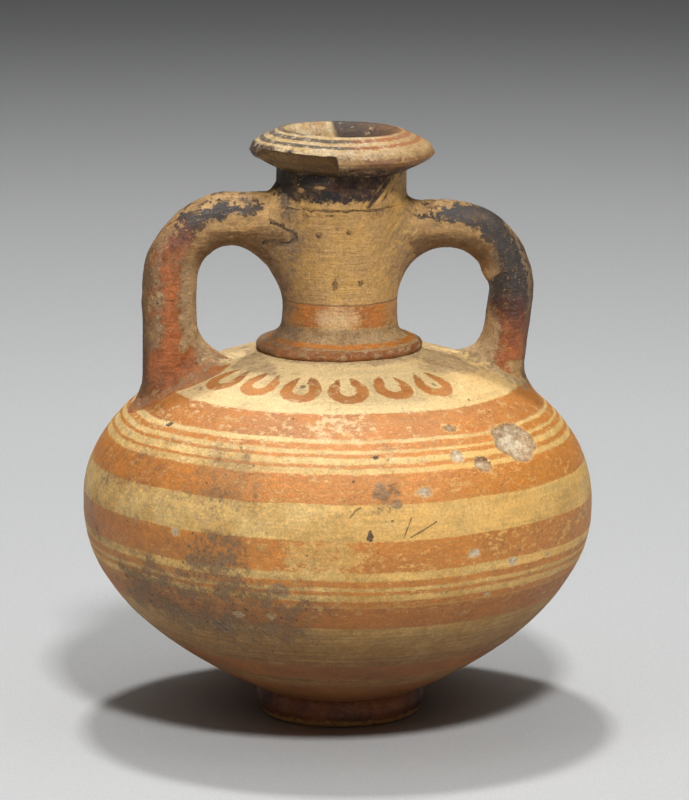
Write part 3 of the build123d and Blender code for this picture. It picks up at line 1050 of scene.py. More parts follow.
class Coat:
    """What a surface shows under its layers: a colour, a roughness and a relief in millimetres."""

    def __init__(self, bench, colour, roughness, relief):
        self.bench, self.colour, self.roughness, self.relief = bench, colour, roughness, relief

    def shade(self, factor):
        self.colour = self.bench.shaded(self.colour, factor)

    def lay(self, share, tint, roughness=None, raised=0.0):
        """Lays a layer on a share of the surface."""
        self.colour = self.bench.blend(share, self.colour, tint)
        if roughness is not None:
            self.roughness = self.roughness + (roughness - self.roughness) * share
        if raised:
            self.relief = self.relief + share * raised

    def meet(self, share, other):
        """Gives way to another coat on a share of the surface."""
        self.colour = self.bench.blend(share, self.colour, other.colour)
        self.roughness = self.roughness + (other.roughness - self.roughness) * share
        self.relief = self.relief + (other.relief - self.relief) * share

    def weather(self, dirty, shift):
        """Lays brown film, crust, dark grains and pits, more of them where a share is high."""
        bench, paint = self.bench, self.bench.paint
        cloud = bench.noise(5.0, 7.0, 0.72, shift=shift)
        fine = bench.noise(1.0, 7.0, 0.78, shift=shift + 1)
        grains = bench.noise(0.6, 6.0, 0.75, shift=shift + 2)
        self.lay((dirty + 0.34 * cloud + 0.22 * fine).step(0.2, 0.85) * 0.55, paint.film)
        crusted = (dirty + 0.32 * cloud + 0.30 * fine).step(0.62, 0.9)
        crust = bench.blend(grains.step(-0.5, 0.5), paint.crust, bench.shaded(paint.crust, 0.66))
        self.lay(crusted * 0.72, crust, EARTH_ROUGH, 0.08)
        self.lay((0.25 * dirty + 0.8 * grains).step(0.86, 1.06) * 0.65, paint.soil, PIT_ROUGH, -0.08)
        some = (bench.noise(8.0, 3.0, shift=shift + 3) + dirty).step(0.2, 0.9)
        self.lay(bench.specks(2.4, 0.34, shift) * some * 0.8, paint.soil, PIT_ROUGH, -0.14)

    def finish(self, grain=0.2):
        """Joins the coat, under a fine grain, to a shader and returns the material."""
        bench = self.bench
        dust = bench.noise(0.42, 4.0, 0.75, shift=3.0)
        self.shade(1.0 + grain * dust)
        bump = bench.node("ShaderNodeBump")
        bump.inputs["Strength"].default_value = 1.0
        bump.inputs["Distance"].default_value = MM
        bench.feed(bump.inputs["Height"], self.relief + 0.09 * grain * dust)
        shader = bench.node("ShaderNodeBsdfPrincipled")
        shader.inputs["Specular IOR Level"].default_value = 0.55
        bench.feed(shader.inputs["Base Color"], self.colour)
        bench.feed(shader.inputs["Roughness"], self.roughness)
        bench.tree.links.new(bump.outputs[0], shader.inputs["Normal"])
        output = bench.node("ShaderNodeOutputMaterial")
        bench.tree.links.new(shader.outputs[0], output.inputs[0])
        return bench.material


def bare_clay(bench, first, second, shift):
    """Bare clay: two tones in clouds, a fine mottle and a grain that can be felt."""
    cloud = bench.noise(9.0, 6.0, 0.66, shift=shift)
    mottle = bench.noise(1.1, 7.0, 0.74, shift=shift + 1)
    tint = bench.shaded(bench.blend(cloud.step(-0.7, 0.9), first, second), 1.0 + 0.18 * mottle)
    grain = bench.noise(0.6, 5.0, 0.7, shift=shift + 2)
    lumps = bench.noise(3.0, 4.0, shift=shift + 3)
    return Coat(bench, tint, 0.46 + 0.05 * cloud, 0.03 * grain + 0.06 * lumps)


def ring_stops(rings, low, high):
    """Stops for a ramp whose red is the slip's cover and whose green is its share of red-brown."""
    stops = [(low, (0.0, 0.0, 0.0))]
    for bottom, top, tone in rings:
        for middle, under, over in ((bottom, 0.0, 1.0), (top, 1.0, 0.0)):
            for edge, cover in ((middle - RING_SOFT, under), (middle + RING_SOFT, over)):
                stops.append((max(edge, low), (cover, tone, 0.0)))
    return stops + [(high, (0.0, 0.0, 0.0))]


def ringed(bench):
    """The painted rings' cover and their share of red-brown, at a height that wavers round the pot."""
    rightward = bench.math("SINE", bench.math("RADIANS", bench.turn))
    lean = RING_TILT * rightward
    waver = 0.22 * bench.noise(26.0, 2.0)
    waver = waver + 0.11 * bench.noise(1.3, 6.0, 0.72, stretch=(0.5, 0.5, 1.0))
    height = bench.z + lean + waver
    wave = bench.math("SINE", (height - PINCH_MIDDLE) * (2 * math.pi / PINCH_PITCH))
    pinched = height + PINCH * rightward.step(0.5, -0.7) * wave
    upper = bench.ramp(pinched, ring_stops(UPPER_RINGS, RING_SPLIT, RING_TOP))
    lower = bench.ramp(height, ring_stops(LOWER_RINGS, 0.0, RING_SPLIT))
    above = height.step(RING_SPLIT - RING_SPLIT_SOFT, RING_SPLIT + RING_SPLIT_SOFT)
    cover, tone, _ = bench.split(bench.blend(above, lower, upper))
    return cover, tone


def tongued(bench):
    """The cover of the painted tongues, U shapes open to the neck, and how near it is to their tips."""
    cell = 360.0 / TONGUE_COUNT
    steps = (bench.turn - (TONGUE_TURN - cell / 2)) / cell
    number = bench.math("FLOOR", steps)
    odd = bench.node("ShaderNodeTexWhiteNoise", noise_dimensions="1D")
    bench.feed(odd.inputs["W"], number)
    chance, second, third = bench.split(Field(bench, odd.outputs["Color"]))
    inward = TONGUE_RADIUS - 0.4 + 0.8 * chance - bench.radius
    across = (steps - number - 0.5) * (math.radians(cell) * TONGUE_RADIUS)
    across = across + inward * (second - 0.5) * 0.25
    length = bench.math("MINIMUM", inward, 0.0) + 0.8 * (inward | 0.0)
    bow = bench.math("SQRT", across * across + length * length)
    ragged = 0.2 * bench.noise(1.5, 6.0, 0.7, shift=8.0)
    swell = 1.0 - inward.step(0.0, TONGUE_ARM) * 0.2
    gap = abs(bow - TONGUE_HALF - 0.3 * (third - 0.5)) + ragged
    stroke = (gap - TONGUE_STROKE / 2 * swell).step(TONGUE_SOFT, -TONGUE_SOFT)
    opening = abs(across + 1.2 * (chance - 0.5)) + 0.5 * third + ragged
    closed = opening.step(1.5, 1.75) | inward.step(1.0, 0.6)
    gone = (bench.turn + 3.0 * ragged).step(*BARE_START) * bench.turn.step(*BARE_END)
    cover = stroke * closed * bench.z.step(*SHOULDER_EDGE) * ~(0.93 * gone)
    return cover, inward.step(0.5, TONGUE_ARM)


def slipped_clay(bench):
    """Cream clay with worn orange slip, brushed on as the pot turned, and its coarse and fine noise."""
    paint, height = bench.paint, bench.z
    ragged = bench.noise(2.4, 6.0, 0.7, shift=6.0)
    fleck = bench.noise(0.9, 7.0, 0.76, stretch=(0.55, 0.55, 1.0), shift=7.0)
    streak = bench.noise(1.0, 5.0, 0.7, stretch=(0.04, 0.04, 1.8), shift=2.0)
    patchy = bench.noise(6.0, 6.0, 0.68, stretch=(0.5, 0.5, 1.0), shift=14.0)
    coat = bare_clay(bench, paint.cream, paint.ochre, 10.0)
    # painted sheen: pale cream on the upward-facing shoulder, less of it towards the right
    shoulder_sheen = (height + 3.0 * ragged).step(54.0, 71.0)
    coat.lay(shoulder_sheen * (0.75 - 0.4 * bench.x.step(4.0, 26.0)), paint.pale)
    golden = (bench.glow(42.0, 48.0, 42.0, 16.0) + 0.4 * patchy).step(0.2, 1.2)
    coat.lay(golden * 0.8, bench.shaded(paint.ochre, 1.32))
    coat.lay(height.step(40.0, 15.0) * (0.9 + 0.2 * ragged), paint.tan)
    coat.shade(1.0 + 0.08 * streak + 0.08 * patchy + 0.16 * streak * height.step(31.0, 24.0))
    cover, tone = ringed(bench)
    tongues, tips = tongued(bench)
    tone = tone + 0.30 * patchy + 0.18 * streak + 0.15 * fleck + tongues * (0.3 + 0.35 * tips)
    slip = bench.blend(tone, paint.orange, paint.red_brown)
    slip = bench.shaded(slip, 1.0 + 0.14 * streak + 0.14 * fleck)
    worn = (fleck + 0.6 * patchy + 0.4 * streak).step(0.4, 1.2) * (0.65 - 0.3 * tongues)
    faded = (bench.glow(-3.5, 43.1, 9.5, 4.4) + 0.6 * ragged + 0.5 * fleck).step(0.2, 0.9)
    cover = (cover | tongues) * ~worn * ~(0.8 * faded) * (0.92 + 0.08 * streak)
    coat.lay(cover, slip, 0.37, 0.02)
    # painted highlight, partly wear: a pale patch in the middle of the top band
    band_highlight_and_wear = (bench.glow(-2.0, 65.5, 15.0, 3.0) + 0.5 * ragged + 0.5 * fleck).step(0.7, 1.5)
    coat.lay(band_highlight_and_wear * 0.7, paint.pale)
    # painted shade: the whole body darkens towards the bottom
    coat.shade(1.0 - 0.38 * height.step(36.0, 16.0))
    coat.roughness = coat.roughness + 0.25 * height.step(50.0, 30.0)
    return coat, ragged, fleck


def body_coat(bench):
    """The ringed body: slipped clay under crust, scratches and chips."""
    paint, height = bench.paint, bench.z
    coat, ragged, fleck = slipped_clay(bench)
    dust = (bench.glows(DUST) + 0.32 * ragged + 0.42 * fleck).step(0.45, 1.0)
    coat.lay(dust * 0.55, bench.shaded(paint.scale, 1.2 + 0.4 * fleck), EARTH_ROUGH, 0.08)
    mottled = (bench.glows(DULL) + 0.6 * ragged + 0.3 * fleck).step(0.35, 1.3)
    coat.lay(mottled * 0.42, bench.shaded(paint.red_brown, 1.15 + 0.3 * fleck))
    smoked = (bench.glows(SMOKE) + 0.5 * ragged + 0.3 * fleck).step(0.3, 1.4)
    coat.lay(smoked * 0.5, bench.shaded(paint.film, 1.1 + 0.3 * fleck), 0.7)
    on_shoulder = height.step(*SHOULDER_EDGE)
    smeared = 24.2 + 4.6 * bench.turn.between(44.0, 80.0, 100.0, 130.0)
    by_handles = abs(bench.x).step(12.0, 17.0) * (bench.radius - smeared).step(1.2, -1.2) * on_shoulder
    by_collar = bench.radius.step(20.0, 16.5) * height.step(70.0, 72.0)
    settled = by_handles | by_collar
    earth = (0.75 * settled + 0.3 * ragged + 0.35 * fleck).step(0.4, 0.95)
    coat.lay(earth * 0.8, bench.shaded(paint.scale, 1.15 + 0.4 * fleck), EARTH_ROUGH, 0.14)
    dirty = 0.11 + bench.glows(STAINS) + 0.15 * height.step(22.0, 8.0)
    coat.weather(dirty + 0.22 * settled, 20.0)
    for turn, radius, half in DABS:
        spot = bench.dab(turn, radius, half, 0.3 * ragged + 0.3 * fleck)
        coat.lay(spot * on_shoulder * 0.7, paint.soil)
    across = math.radians(BELLY_RADIUS / MM)
    for scratch in SCRATCHES:
        points = [(turn * across, at_height) for turn, at_height in scratch]
        scratched = bench.stroke(bench.turn * across, height, points, 0.15)
        coat.lay(scratched * 0.7, paint.soil, EARTH_ROUGH, -0.1)
    lump = (bench.attribute("lump") + 0.3 * fleck).step(0.0, 0.3)
    coat.lay(lump * 0.75, bench.shaded(paint.crust, 0.9 + 0.6 * fleck), EARTH_ROUGH)
    chip, chalk = bench.attribute("chip"), bench.attribute("chalk")
    grit = bench.noise(1.0, 7.0, 0.78, shift=43.0)
    broken_edge = chip + 0.35 * grit
    inside = broken_edge.step(0.0, 0.22)
    tones = [(0.0, paint.soil), (0.22, paint.film), (0.55, paint.bare), (1.0, paint.chalk)]
    middle = 0.25 * chip.step(1.8, 4.0) - 0.16 * chip.step(1.2, 0.3)
    broken = bench.ramp(chalk + 0.30 * fleck + middle, tones)
    coat.lay(broken_edge.step(-0.35, -0.1) * ~inside * 0.4, paint.cream)
    coat.lay(inside * 0.92, broken, EARTH_ROUGH)
    return coat


def shoulder_coat(bench):
    """The shoulder round a handle's foot: slipped clay that dirt has settled on."""
    coat, ragged, fleck = slipped_clay(bench)
    on_right = bench.x.step(-5.0, 5.0)
    run = (bench.z - 1.2 * ragged).step(74.5, 72.0) * bench.radius.step(24.5, 26.5) * ~on_right
    coat.lay(run * 0.85, bench.shaded(bench.paint.rust, 1.0 + 0.2 * fleck), 0.4)
    dust = (0.4 + 0.35 * ragged + 0.35 * fleck).step(0.2, 0.8) * (0.3 + 0.4 * on_right)
    coat.lay(dust, bench.paint.scale, EARTH_ROUGH, 0.1)
    coat.weather(0.26 + 0.2 * ragged, 20.0)
    return coat


def cracked(bench, coat):
    """Lays the crack where the left handle's root was pressed on the neck."""
    ragged = bench.noise(1.4, 5.0, 0.7, shift=48.0)
    line = bench.stroke(bench.x + 0.3 * ragged, bench.z + 0.3 * ragged, ROOT_CRACK, 0.34)
    coat.lay(line * bench.y.step(0.0, -3.0) * (0.75 + 0.5 * ragged), bench.paint.soil, PIT_ROUGH, -0.35)


def throat_slip(bench, ragged):
    """The dark paint under the lip: brown-black at the left, dark red and rusty at the right."""
    paint = bench.paint
    redder = (bench.turn_from(0.0) + 24.0 * ragged).step(-12.0, 44.0)
    streak = bench.noise(1.1, 6.0, 0.72, stretch=(0.2, 0.2, 1.0), shift=65.0)
    dark = bench.blend(redder * 0.95, bench.shaded(paint.dark, 0.7), bench.shaded(paint.maroon, 1.5))
    rusty = (bench.glow(-6.0, 108.6, 26.0, 1.2) * 0.9 + 0.5 * streak).step(0.55, 1.2)
    return bench.shaded(bench.blend(rusty * 0.4, dark, paint.rust), 0.27 + 0.14 * streak)


def neck_coat(bench):
    """The neck, its collar and the throat: tooled buff clay with an orange band and a dark top."""
    paint, height = bench.paint, bench.z
    ragged = bench.noise(2.2, 6.0, 0.7, shift=52.0)
    fleck = bench.noise(0.8, 7.0, 0.76, shift=53.0)
    tooled = bench.noise(1.0, 6.0, 0.7, stretch=(0.10, 0.10, 1.2), shift=54.0)
    swept_place = bench.node("ShaderNodeVectorRotate", rotation_type="Y_AXIS")
    bench.feed(swept_place.inputs["Vector"], bench.place)
    swept_place.inputs["Angle"].default_value = SWEEP
    place = Field(bench, swept_place.outputs[0])
    swept = bench.noise(1.0, 6.0, 0.7, stretch=(0.10, 0.3, 1.0), shift=56.0, place=place)
    on_web = bench.x.step(4.0, 9.0) * height.step(84.0, 89.0)
    marks = tooled + (swept - tooled) * on_web
    coat = bare_clay(bench, paint.buff, paint.ochre, 58.0)
    # painted shade: the neck darkens on its left below the handle's root, under the handle's arch
    dim = bench.x.step(-3.0, -10.0) * height.step(102.0, 97.0)
    coat.shade(1.0 + 0.05 * marks + 0.08 * ragged - 0.22 * dim)
    coat.relief = coat.relief + 0.055 * marks + 0.05 * ragged
    upper = height + 0.10 * ragged
    lower = height + 0.8 * ragged + 0.4 * fleck
    band = upper.step(*NECK_BAND_TOP) * lower.step(*NECK_BAND_FOOT)
    reach = bench.radius + 0.16 * ragged
    flare = height.step(*COLLAR_TOP)
    ridge = reach.between(*COLLAR_RIDGE) * flare
    skirt = reach.step(*COLLAR_SKIRT) * flare
    rings = band | ridge | skirt
    aside = abs(bench.turn_from(0.0)).step(40.0, 62.0) * height.step(78.0, 80.0)
    worn = (fleck + ragged).step(0.3, 1.1) | 0.8 * aside
    cover = rings * ~(0.75 * worn)
    tone = 0.32 + 0.35 * bench.noise(3.6, 6.0, 0.7, shift=64.0) + 0.2 * fleck + 0.5 * skirt
    slip = bench.shaded(bench.blend(tone, paint.orange, paint.red_brown), 1.0 + 0.15 * fleck)
    coat.lay(cover, slip, 0.33, 0.02)
    # painted highlight: a pale patch where the band catches the lamp's sheen
    neck_highlight = (bench.glow(-3.0, 82.0, 24.0, 3.0) + 0.2 * ragged + 0.2 * fleck).step(0.15, 1.3)
    coat.lay(neck_highlight * 0.7, paint.pale)
    coat.lay(upper.between(*NECK_LINE) * 0.55, paint.soil, FILM_ROUGH, -0.05)
    rising = 6.5 * bench.x.step(4.0, 13.0) + 3.4 * swept * bench.x.step(1.0, 7.0)
    rising = rising * bench.y.step(4.0, -2.0)
    fraying = 1.0 + 2.2 * bench.x.step(2.0, 8.0)
    throat = ((height - THROAT_EDGE - rising + 0.8 * ragged + 0.3 * fleck) / fraying).step(-0.4, 0.4)
    throat = throat * ~(0.8 * bench.stippled(0.24, 1.1, 66.0))
    coat.lay(throat, throat_slip(bench, ragged), DARK_ROUGH, 0.02)
    for bare in THROAT_SPOTS:
        spot = (bench.glow(*bare) + 0.4 * fleck + 0.3 * ragged).step(0.4, 0.9)
        coat.lay(spot * 0.7, paint.buff)
    foot = height.step(81.5, 79.5) * ~(0.8 * rings)
    earth = (0.75 * foot + 0.3 * skirt + 0.35 * ragged + 0.35 * fleck).step(0.25, 0.9)
    coat.lay(earth * 0.8, bench.shaded(paint.scale, 1.0 + 0.3 * fleck), EARTH_ROUGH, 0.12)
    # dirt and painted shade: more film on the neck's sides, where it turns from the light, and on its
    # left under the handle
    sides = abs(bench.turn_from(6.0)).step(34.0, 80.0) * height.step(108.0, 100.0)
    at_left = bench.x.step(-3.0, -12.0) * height.step(104.5, 102.5)
    dirty = 0.14 + 0.14 * foot + 0.30 * sides + 0.34 * at_left + 0.2 * height.step(100.0, 104.0)
    coat.weather(dirty, 68.0)
    for pitted in NECK_PITS:
        pit = bench.glow(*pitted)
        hollow = (pit + 0.7 * fleck * pit + 0.3 * ragged * pit).step(0.45, 1.0)
        coat.lay(hollow * 0.5, paint.film, PIT_ROUGH, -0.3)
        coat.lay((pit + 0.9 * fleck).step(1.0, 1.4) * pit * 0.8, paint.soil)
    cracked(bench, coat)
    corner = bench.x.step(-9.0, -12.0) * height.step(100.5, 103.0)
    corner = (corner + 0.4 * ragged + 0.3 * fleck).step(0.4, 0.9)
    coat.lay(corner * 0.8, bench.shaded(paint.dark, 0.8), DARK_ROUGH)
    seam = abs(height - SEAM_HEIGHT + 0.3 * ragged).step(0.22, 0.06) * bench.x.step(8.0, 5.0)
    coat.lay(seam * (fleck + ragged).step(-0.9, 0.1) * 0.8, paint.soil, PIT_ROUGH, -0.2)
    return coat


def handle_coat(bench, side):
    """A handle: buff clay with a stripe of slip that is dark at the top and orange at the foot."""
    paint = bench.paint
    stripe, lower_edge, upper_edge = STRIPES[side]
    along, outward = bench.attribute("along"), bench.attribute("outward")
    ragged = bench.noise(2.4, 7.0, 0.74, shift=72.0)
    fleck = bench.noise(0.9, 7.0, 0.76, shift=73.0)
    crease = bench.noise(1.0, 6.0, 0.7, stretch=(0.16, 0.9, 0.9), shift=74.0)
    coat = bare_clay(bench, paint.buff, bench.shaded(paint.buff, 0.72), 76.0)
    coat.shade(1.0 + 0.14 * crease + 0.08 * fleck)
    coat.relief = coat.relief + 0.08 * crease
    limits = []
    for edge in (lower_edge, upper_edge):
        stops = [(at, ((value / STRIPE_REACH + 1) / 2,) * 3) for at, value in edge]
        held = bench.split(bench.ramp(along, stops))[0]
        limits.append(2 * STRIPE_REACH * held - STRIPE_REACH)
    tints = [(place, getattr(paint, name)) for place, name in stripe]
    slip = bench.ramp(along + 0.03 * ragged, tints)
    slip = bench.shaded(slip, 1.0 + 0.30 * bench.noise(3.0, 6.0, 0.7, shift=78.0) + 0.20 * fleck)
    inside = (outward - limits[0] + 0.24 * ragged + 0.08 * fleck).step(-0.06, 0.06)
    crest = (outward - limits[1] + 0.30 * ragged).step(-0.2, 0.15)
    first, last = stripe[0][0], stripe[-1][0]
    begun = (along + 0.06 * ragged).step(first - 0.01, first + 0.01)
    ends = begun * (along + 0.02 * ragged).step(last + 0.005, last - 0.005)
    flaked = bench.stippled(0.22 + 0.55 * crest, 1.6, 82.0)
    cover = inside * ends * ~(0.92 * flaked)
    coat.lay(cover, slip, 0.36, 0.05)
    cracks = abs(bench.noise(3.2, 5.0, 0.62, shift=80.0)).step(0.07, 0.02)
    cracks = cracks * ragged.step(-0.1, 0.4)
    coat.lay(cracks * cover * 0.75, paint.buff, 0.7, -0.05)
    leg = along.step(0.36, 0.5)
    edges = [(1.0 - abs(outward - limit) * 2.4).step(0.0, 1.0) for limit in limits]
    scaled = (0.8 * (edges[0] | edges[1]) + 0.35 * ragged + 0.4 * fleck).step(0.42, 0.9) * leg
    coat.lay(scaled * 0.75, bench.shaded(paint.scale, 0.95 + 0.4 * fleck), EARTH_ROUGH, 0.12)
    within = (outward + 0.2 * ragged + 0.1 * fleck).step(-0.15, -0.6)
    within = within * leg * along.step(0.95, 0.8) * ~cover
    coat.lay(within * 0.75, bench.shaded(paint.scale, 1.3 + 0.4 * fleck), EARTH_ROUGH, 0.06)
    # painted shade, partly grime: dark film under the handle's top, where light from above doesn't
    # reach
    under = (outward + 0.15 * ragged + 0.2 * crease).step(0.05, -0.5) * along.step(0.52, 0.38)
    coat.lay(under * 0.85, bench.shaded(paint.film, 0.5 + 0.25 * fleck), FILM_ROUGH)
    edge = (outward + 0.18 * ragged + 0.1 * fleck).step(0.6, 0.98) * leg
    coat.lay(edge * 0.75, bench.shaded(paint.film, 0.45 + 0.2 * fleck), FILM_ROUGH)
    coat.weather(0.24 + 0.12 * under + 0.12 * crest, 84.0)
    return coat


def lip_coat(bench):
    """The lip: cream with two thin rings on its slope, a worn dark edge, and a mouth half blackened."""
    paint = bench.paint
    ragged = bench.noise(1.8, 6.0, 0.72, shift=92.0)
    fleck = bench.noise(0.8, 7.0, 0.76, shift=93.0)
    broad = bench.noise(6.5, 3.0, 0.5, shift=94.0)
    flake = bench.attribute("flake")
    height = bench.z + LIP_TILT * bench.x - LIP_RISE
    coat = bare_clay(bench, paint.cream, paint.buff, 96.0)
    coat.lay((0.45 + 0.5 * ragged + 0.3 * fleck).step(0.0, 1.0) * 0.75, bench.shaded(paint.chalk, 0.92))
    coat.shade(0.90 + 0.12 * ragged + 0.10 * fleck)
    coat.relief = coat.relief + 0.12 * ragged
    radius = bench.radius + 0.16 * ragged
    rings = radius.between(*LIP_RINGS[0]) | radius.between(*LIP_RINGS[1])
    rings = rings * height.step(113.6, 114.2) * ~(0.7 * (fleck + 0.8 * ragged).step(0.1, 0.9))
    rightward = (bench.x + 2.5 * broad + 1.5 * ragged).step(-3.0, 6.0)
    coat.lay(rings * 0.92, bench.blend(rightward, bench.shaded(paint.dark, 1.5), paint.rust), 0.5)
    mouth = radius.step(12.2, 11.8)
    far_right = (abs(bench.turn_from(112.0)) + 14.0 * broad).step(76.0, 66.0)
    blackened = mouth * (far_right | height.step(113.0, 110.0))
    blackened = blackened * ~(0.8 * bench.stippled(0.32, 2.0, 101.0))
    coat.lay(blackened, bench.shaded(paint.dark, 1.4), DARK_ROUGH)
    brim = radius.between(*LIP_BRIM) * ~(0.7 * (fleck + ragged).step(0.1, 0.9))
    coat.lay(brim * bench.x.step(2.0, 7.0) * bench.y.step(2.0, -1.5) * 0.8, paint.red_brown)
    coat.lay(brim * bench.x.step(-6.0, -9.0) * 0.8, paint.dark)
    rim = bench.radius.step(16.4, 17.3)
    leftward = (abs(bench.turn_from(-86.0)) + 26.0 * ragged).step(62.0, 36.0)
    coat.lay(rim * leftward * ~(0.7 * (fleck + ragged).step(0.4, 1.0)), paint.dark, 0.55)
    low_rim = rim * (height + 0.3 * ragged).step(115.0, 113.8)
    rusty = (rim * 0.6 + 0.4 * fleck + 0.4 * ragged).step(0.85, 1.2) * rightward
    coat.lay(rusty * 0.75, paint.rust)
    reddened = (low_rim + 0.4 * fleck + 0.4 * ragged).step(0.5, 1.0) * rightward
    coat.lay(reddened * 0.85, bench.shaded(paint.red_brown, 0.75))
    coat.lay(bench.x.step(2.0, 14.0) * (0.45 + 0.3 * ragged), paint.tan)
    below = (height + 0.15 * ragged).step(112.7, 112.2) * ~mouth
    painted = below * ~flake * ~(0.6 * (fleck + ragged).step(0.3, 1.0))
    coat.lay(painted, throat_slip(bench, ragged), DARK_ROUGH)
    broken = bench.blend((ragged + fleck).step(-0.5, 0.9), bench.shaded(paint.buff, 0.85), paint.film)
    coat.lay(flake * 0.8, broken, EARTH_ROUGH)
    coat.relief = coat.relief + 0.22 * flake * (ragged + fleck)
    coat.lay(flake * (bench.turn + 8.0 * ragged).step(-40.0, -22.0) * 0.5, paint.film)
    coat.weather(0.17 + 0.22 * rim + 0.15 * below + 0.2 * mouth + 0.15 * flake, 107.0)
    return coat


def foot_coat(bench):
    """The ring foot: brushed red-brown slip, worn to orange clay where it stands."""
    paint = bench.paint
    streak = bench.noise(1.0, 5.0, 0.7, stretch=(0.06, 0.06, 1.2), shift=112.0)
    ragged = bench.noise(2.0, 6.0, 0.7, shift=114.0)
    coat = bare_clay(bench, paint.red_brown, paint.maroon, 116.0)
    coat.shade(0.95 + 0.16 * streak + 0.08 * ragged)
    # painted light: a pale buff line along the rim's lowest edge, where the front lamp reaches
    coat.lay((bench.z + 0.4 * ragged).step(1.9, 0.9) * 0.9, bench.shaded(paint.buff, 1.5))
    coat.weather(0.26 + 0.12 * ragged, 118.0)
    return coat


def coated(name, coat, *arguments):
    """A material with one coat."""
    return coat(Bench(name), *arguments).finish()


def wad_material(name, vessel_coat, side):
    """A wad's material: the vessel's coat, which gives way to the handle's, with dirt in the crease."""
    bench = Bench(name)
    coat = vessel_coat(bench)
    onto = bench.attribute("onto_handle") + 0.16 * bench.noise(2.0, 6.0, 0.7, shift=122.0)
    coat.meet(onto.step(0.4, 0.6), handle_coat(bench, side))
    if vessel_coat is neck_coat:
        cracked(bench, coat)
    # dirt and painted shade: grey-brown earth laid in the crease between the coil and the vessel
    crease = (1.0 - abs(onto - 0.36) * 3.0).step(0.0, 1.0)
    fleck = bench.noise(1.0, 7.0, 0.76, shift=124.0)
    earth = (0.8 * crease + 0.6 * fleck).step(0.4, 1.0)
    coat.lay(earth * 0.7, bench.shaded(bench.paint.crust, 1.0 + 0.4 * fleck), EARTH_ROUGH, 0.06)
    return coat.finish()


class FLASK_OT_body(bpy.types.Operator):
    """Make the lower and the upper half of the ringed body"""

    bl_idname = "flask.body"
    bl_label = "Body"

    def execute(self, context):
        lines = body_lines(context.scene.flask_body)
        flank, shoulder = lines["outer_flank"], lines["outer_shoulder"]
        inner_flank, inner_shoulder = lines["inner_flank"], lines["inner_shoulder"]
        belly = flank[0]
        seam = belly[1] + (belly[0] - inner_shoulder[:, 0]) * SEAM_RISE / WALL
        above = inner_shoulder[:, 1] > seam
        meeting = inner_shoulder[above][0]
        base = line((0, BASE_LIFT), (flank[-1, 0] - BASE_BEVEL, BASE_LIFT), flank[-1])
        inner_low = np.vstack([meeting, inner_shoulder[~above][::-1], inner_flank[1:]])
        floor = line(inner_flank[-1], (0, BASE_LIFT + FLOOR_THICKNESS))
        lower = [
            np.vstack([respaced(base, HIDDEN_STEP)[:-1], respaced(flank[::-1], OUTER_STEP)]),
            hidden(belly, meeting),
            respaced(inner_low, INNER_STEP),
            respaced(floor, INNER_STEP),
        ]
        upper = [
            respaced(shoulder, OUTER_STEP),
            hidden(shoulder[-1], inner_shoulder[-1]),
            respaced(np.vstack([inner_shoulder[above][::-1], meeting]), INNER_STEP),
            hidden(meeting, belly),
        ]
        material = coated("ringed_clay", body_coat)
        for name, runs in (("lower_body", lower), ("upper_body", upper)):
            vertices, faces, normals, outside, places = turned(runs, BODY_SEGMENTS)
            vertices, marks = weathered_body(vertices, normals, outside)
            make_piece(
                f"painted_{name}", name, "banded_clay", vertices, faces, places, material, **marks
            )
        return {"FINISHED"}


class FLASK_OT_foot(bpy.types.Operator):
    """Make the ring foot"""

    bl_idname = "flask.foot"
    bl_label = "Foot"

    def execute(self, context):
        body = context.scene.flask_body
        foot_radius, foot_height = millimetres(body, "foot_radius", "foot_height")
        flank_end = np.array([FLANK_RADIUS, foot_height])
        top = flank_end + (FOOT_LEDGE, FOOT_LEDGE * math.tan(FLANK_SLOPE))
        bulge = arc((FOOT_REST_RADIUS, 0), (foot_radius, FOOT_BULGE_HEIGHT), top)
        rest, hollow = np.array([FOOT_REST_RADIUS, 0.0]), np.array([FOOT_HOLLOW_RADIUS, 0.0])
        side = bulge[bulge[:, 1] > CORNER_ROUND]
        heel = rounded(hollow, rest, side[0], 2 * CORNER_ROUND)
        bevel = (FLANK_RADIUS - BASE_BEVEL, BASE_LIFT)
        roof = line(top, flank_end, bevel, hollow + (0, BASE_LIFT))
        runs = [
            respaced(np.vstack([heel, side]), NECK_STEP),
            respaced(roof, HIDDEN_STEP),
            respaced(line(hollow + (0, BASE_LIFT), hollow), NECK_STEP),
            respaced(line(hollow, heel[0]), NECK_STEP),
        ]
        vertices, faces, normals, outside, places = turned(runs, NECK_SEGMENTS)
        rough = 0.07 * clay_noise(vertices, 1.8, 51) * outside * smooth(vertices[:, 2], 0.2, 1.0)
        material = coated("red_brown_foot", foot_coat)
        make_piece(
            "painted_foot_ring", "foot_ring", "red_slip_clay",
            vertices + normals * rough[:, None], faces, places, material,
        )
        return {"FINISHED"}


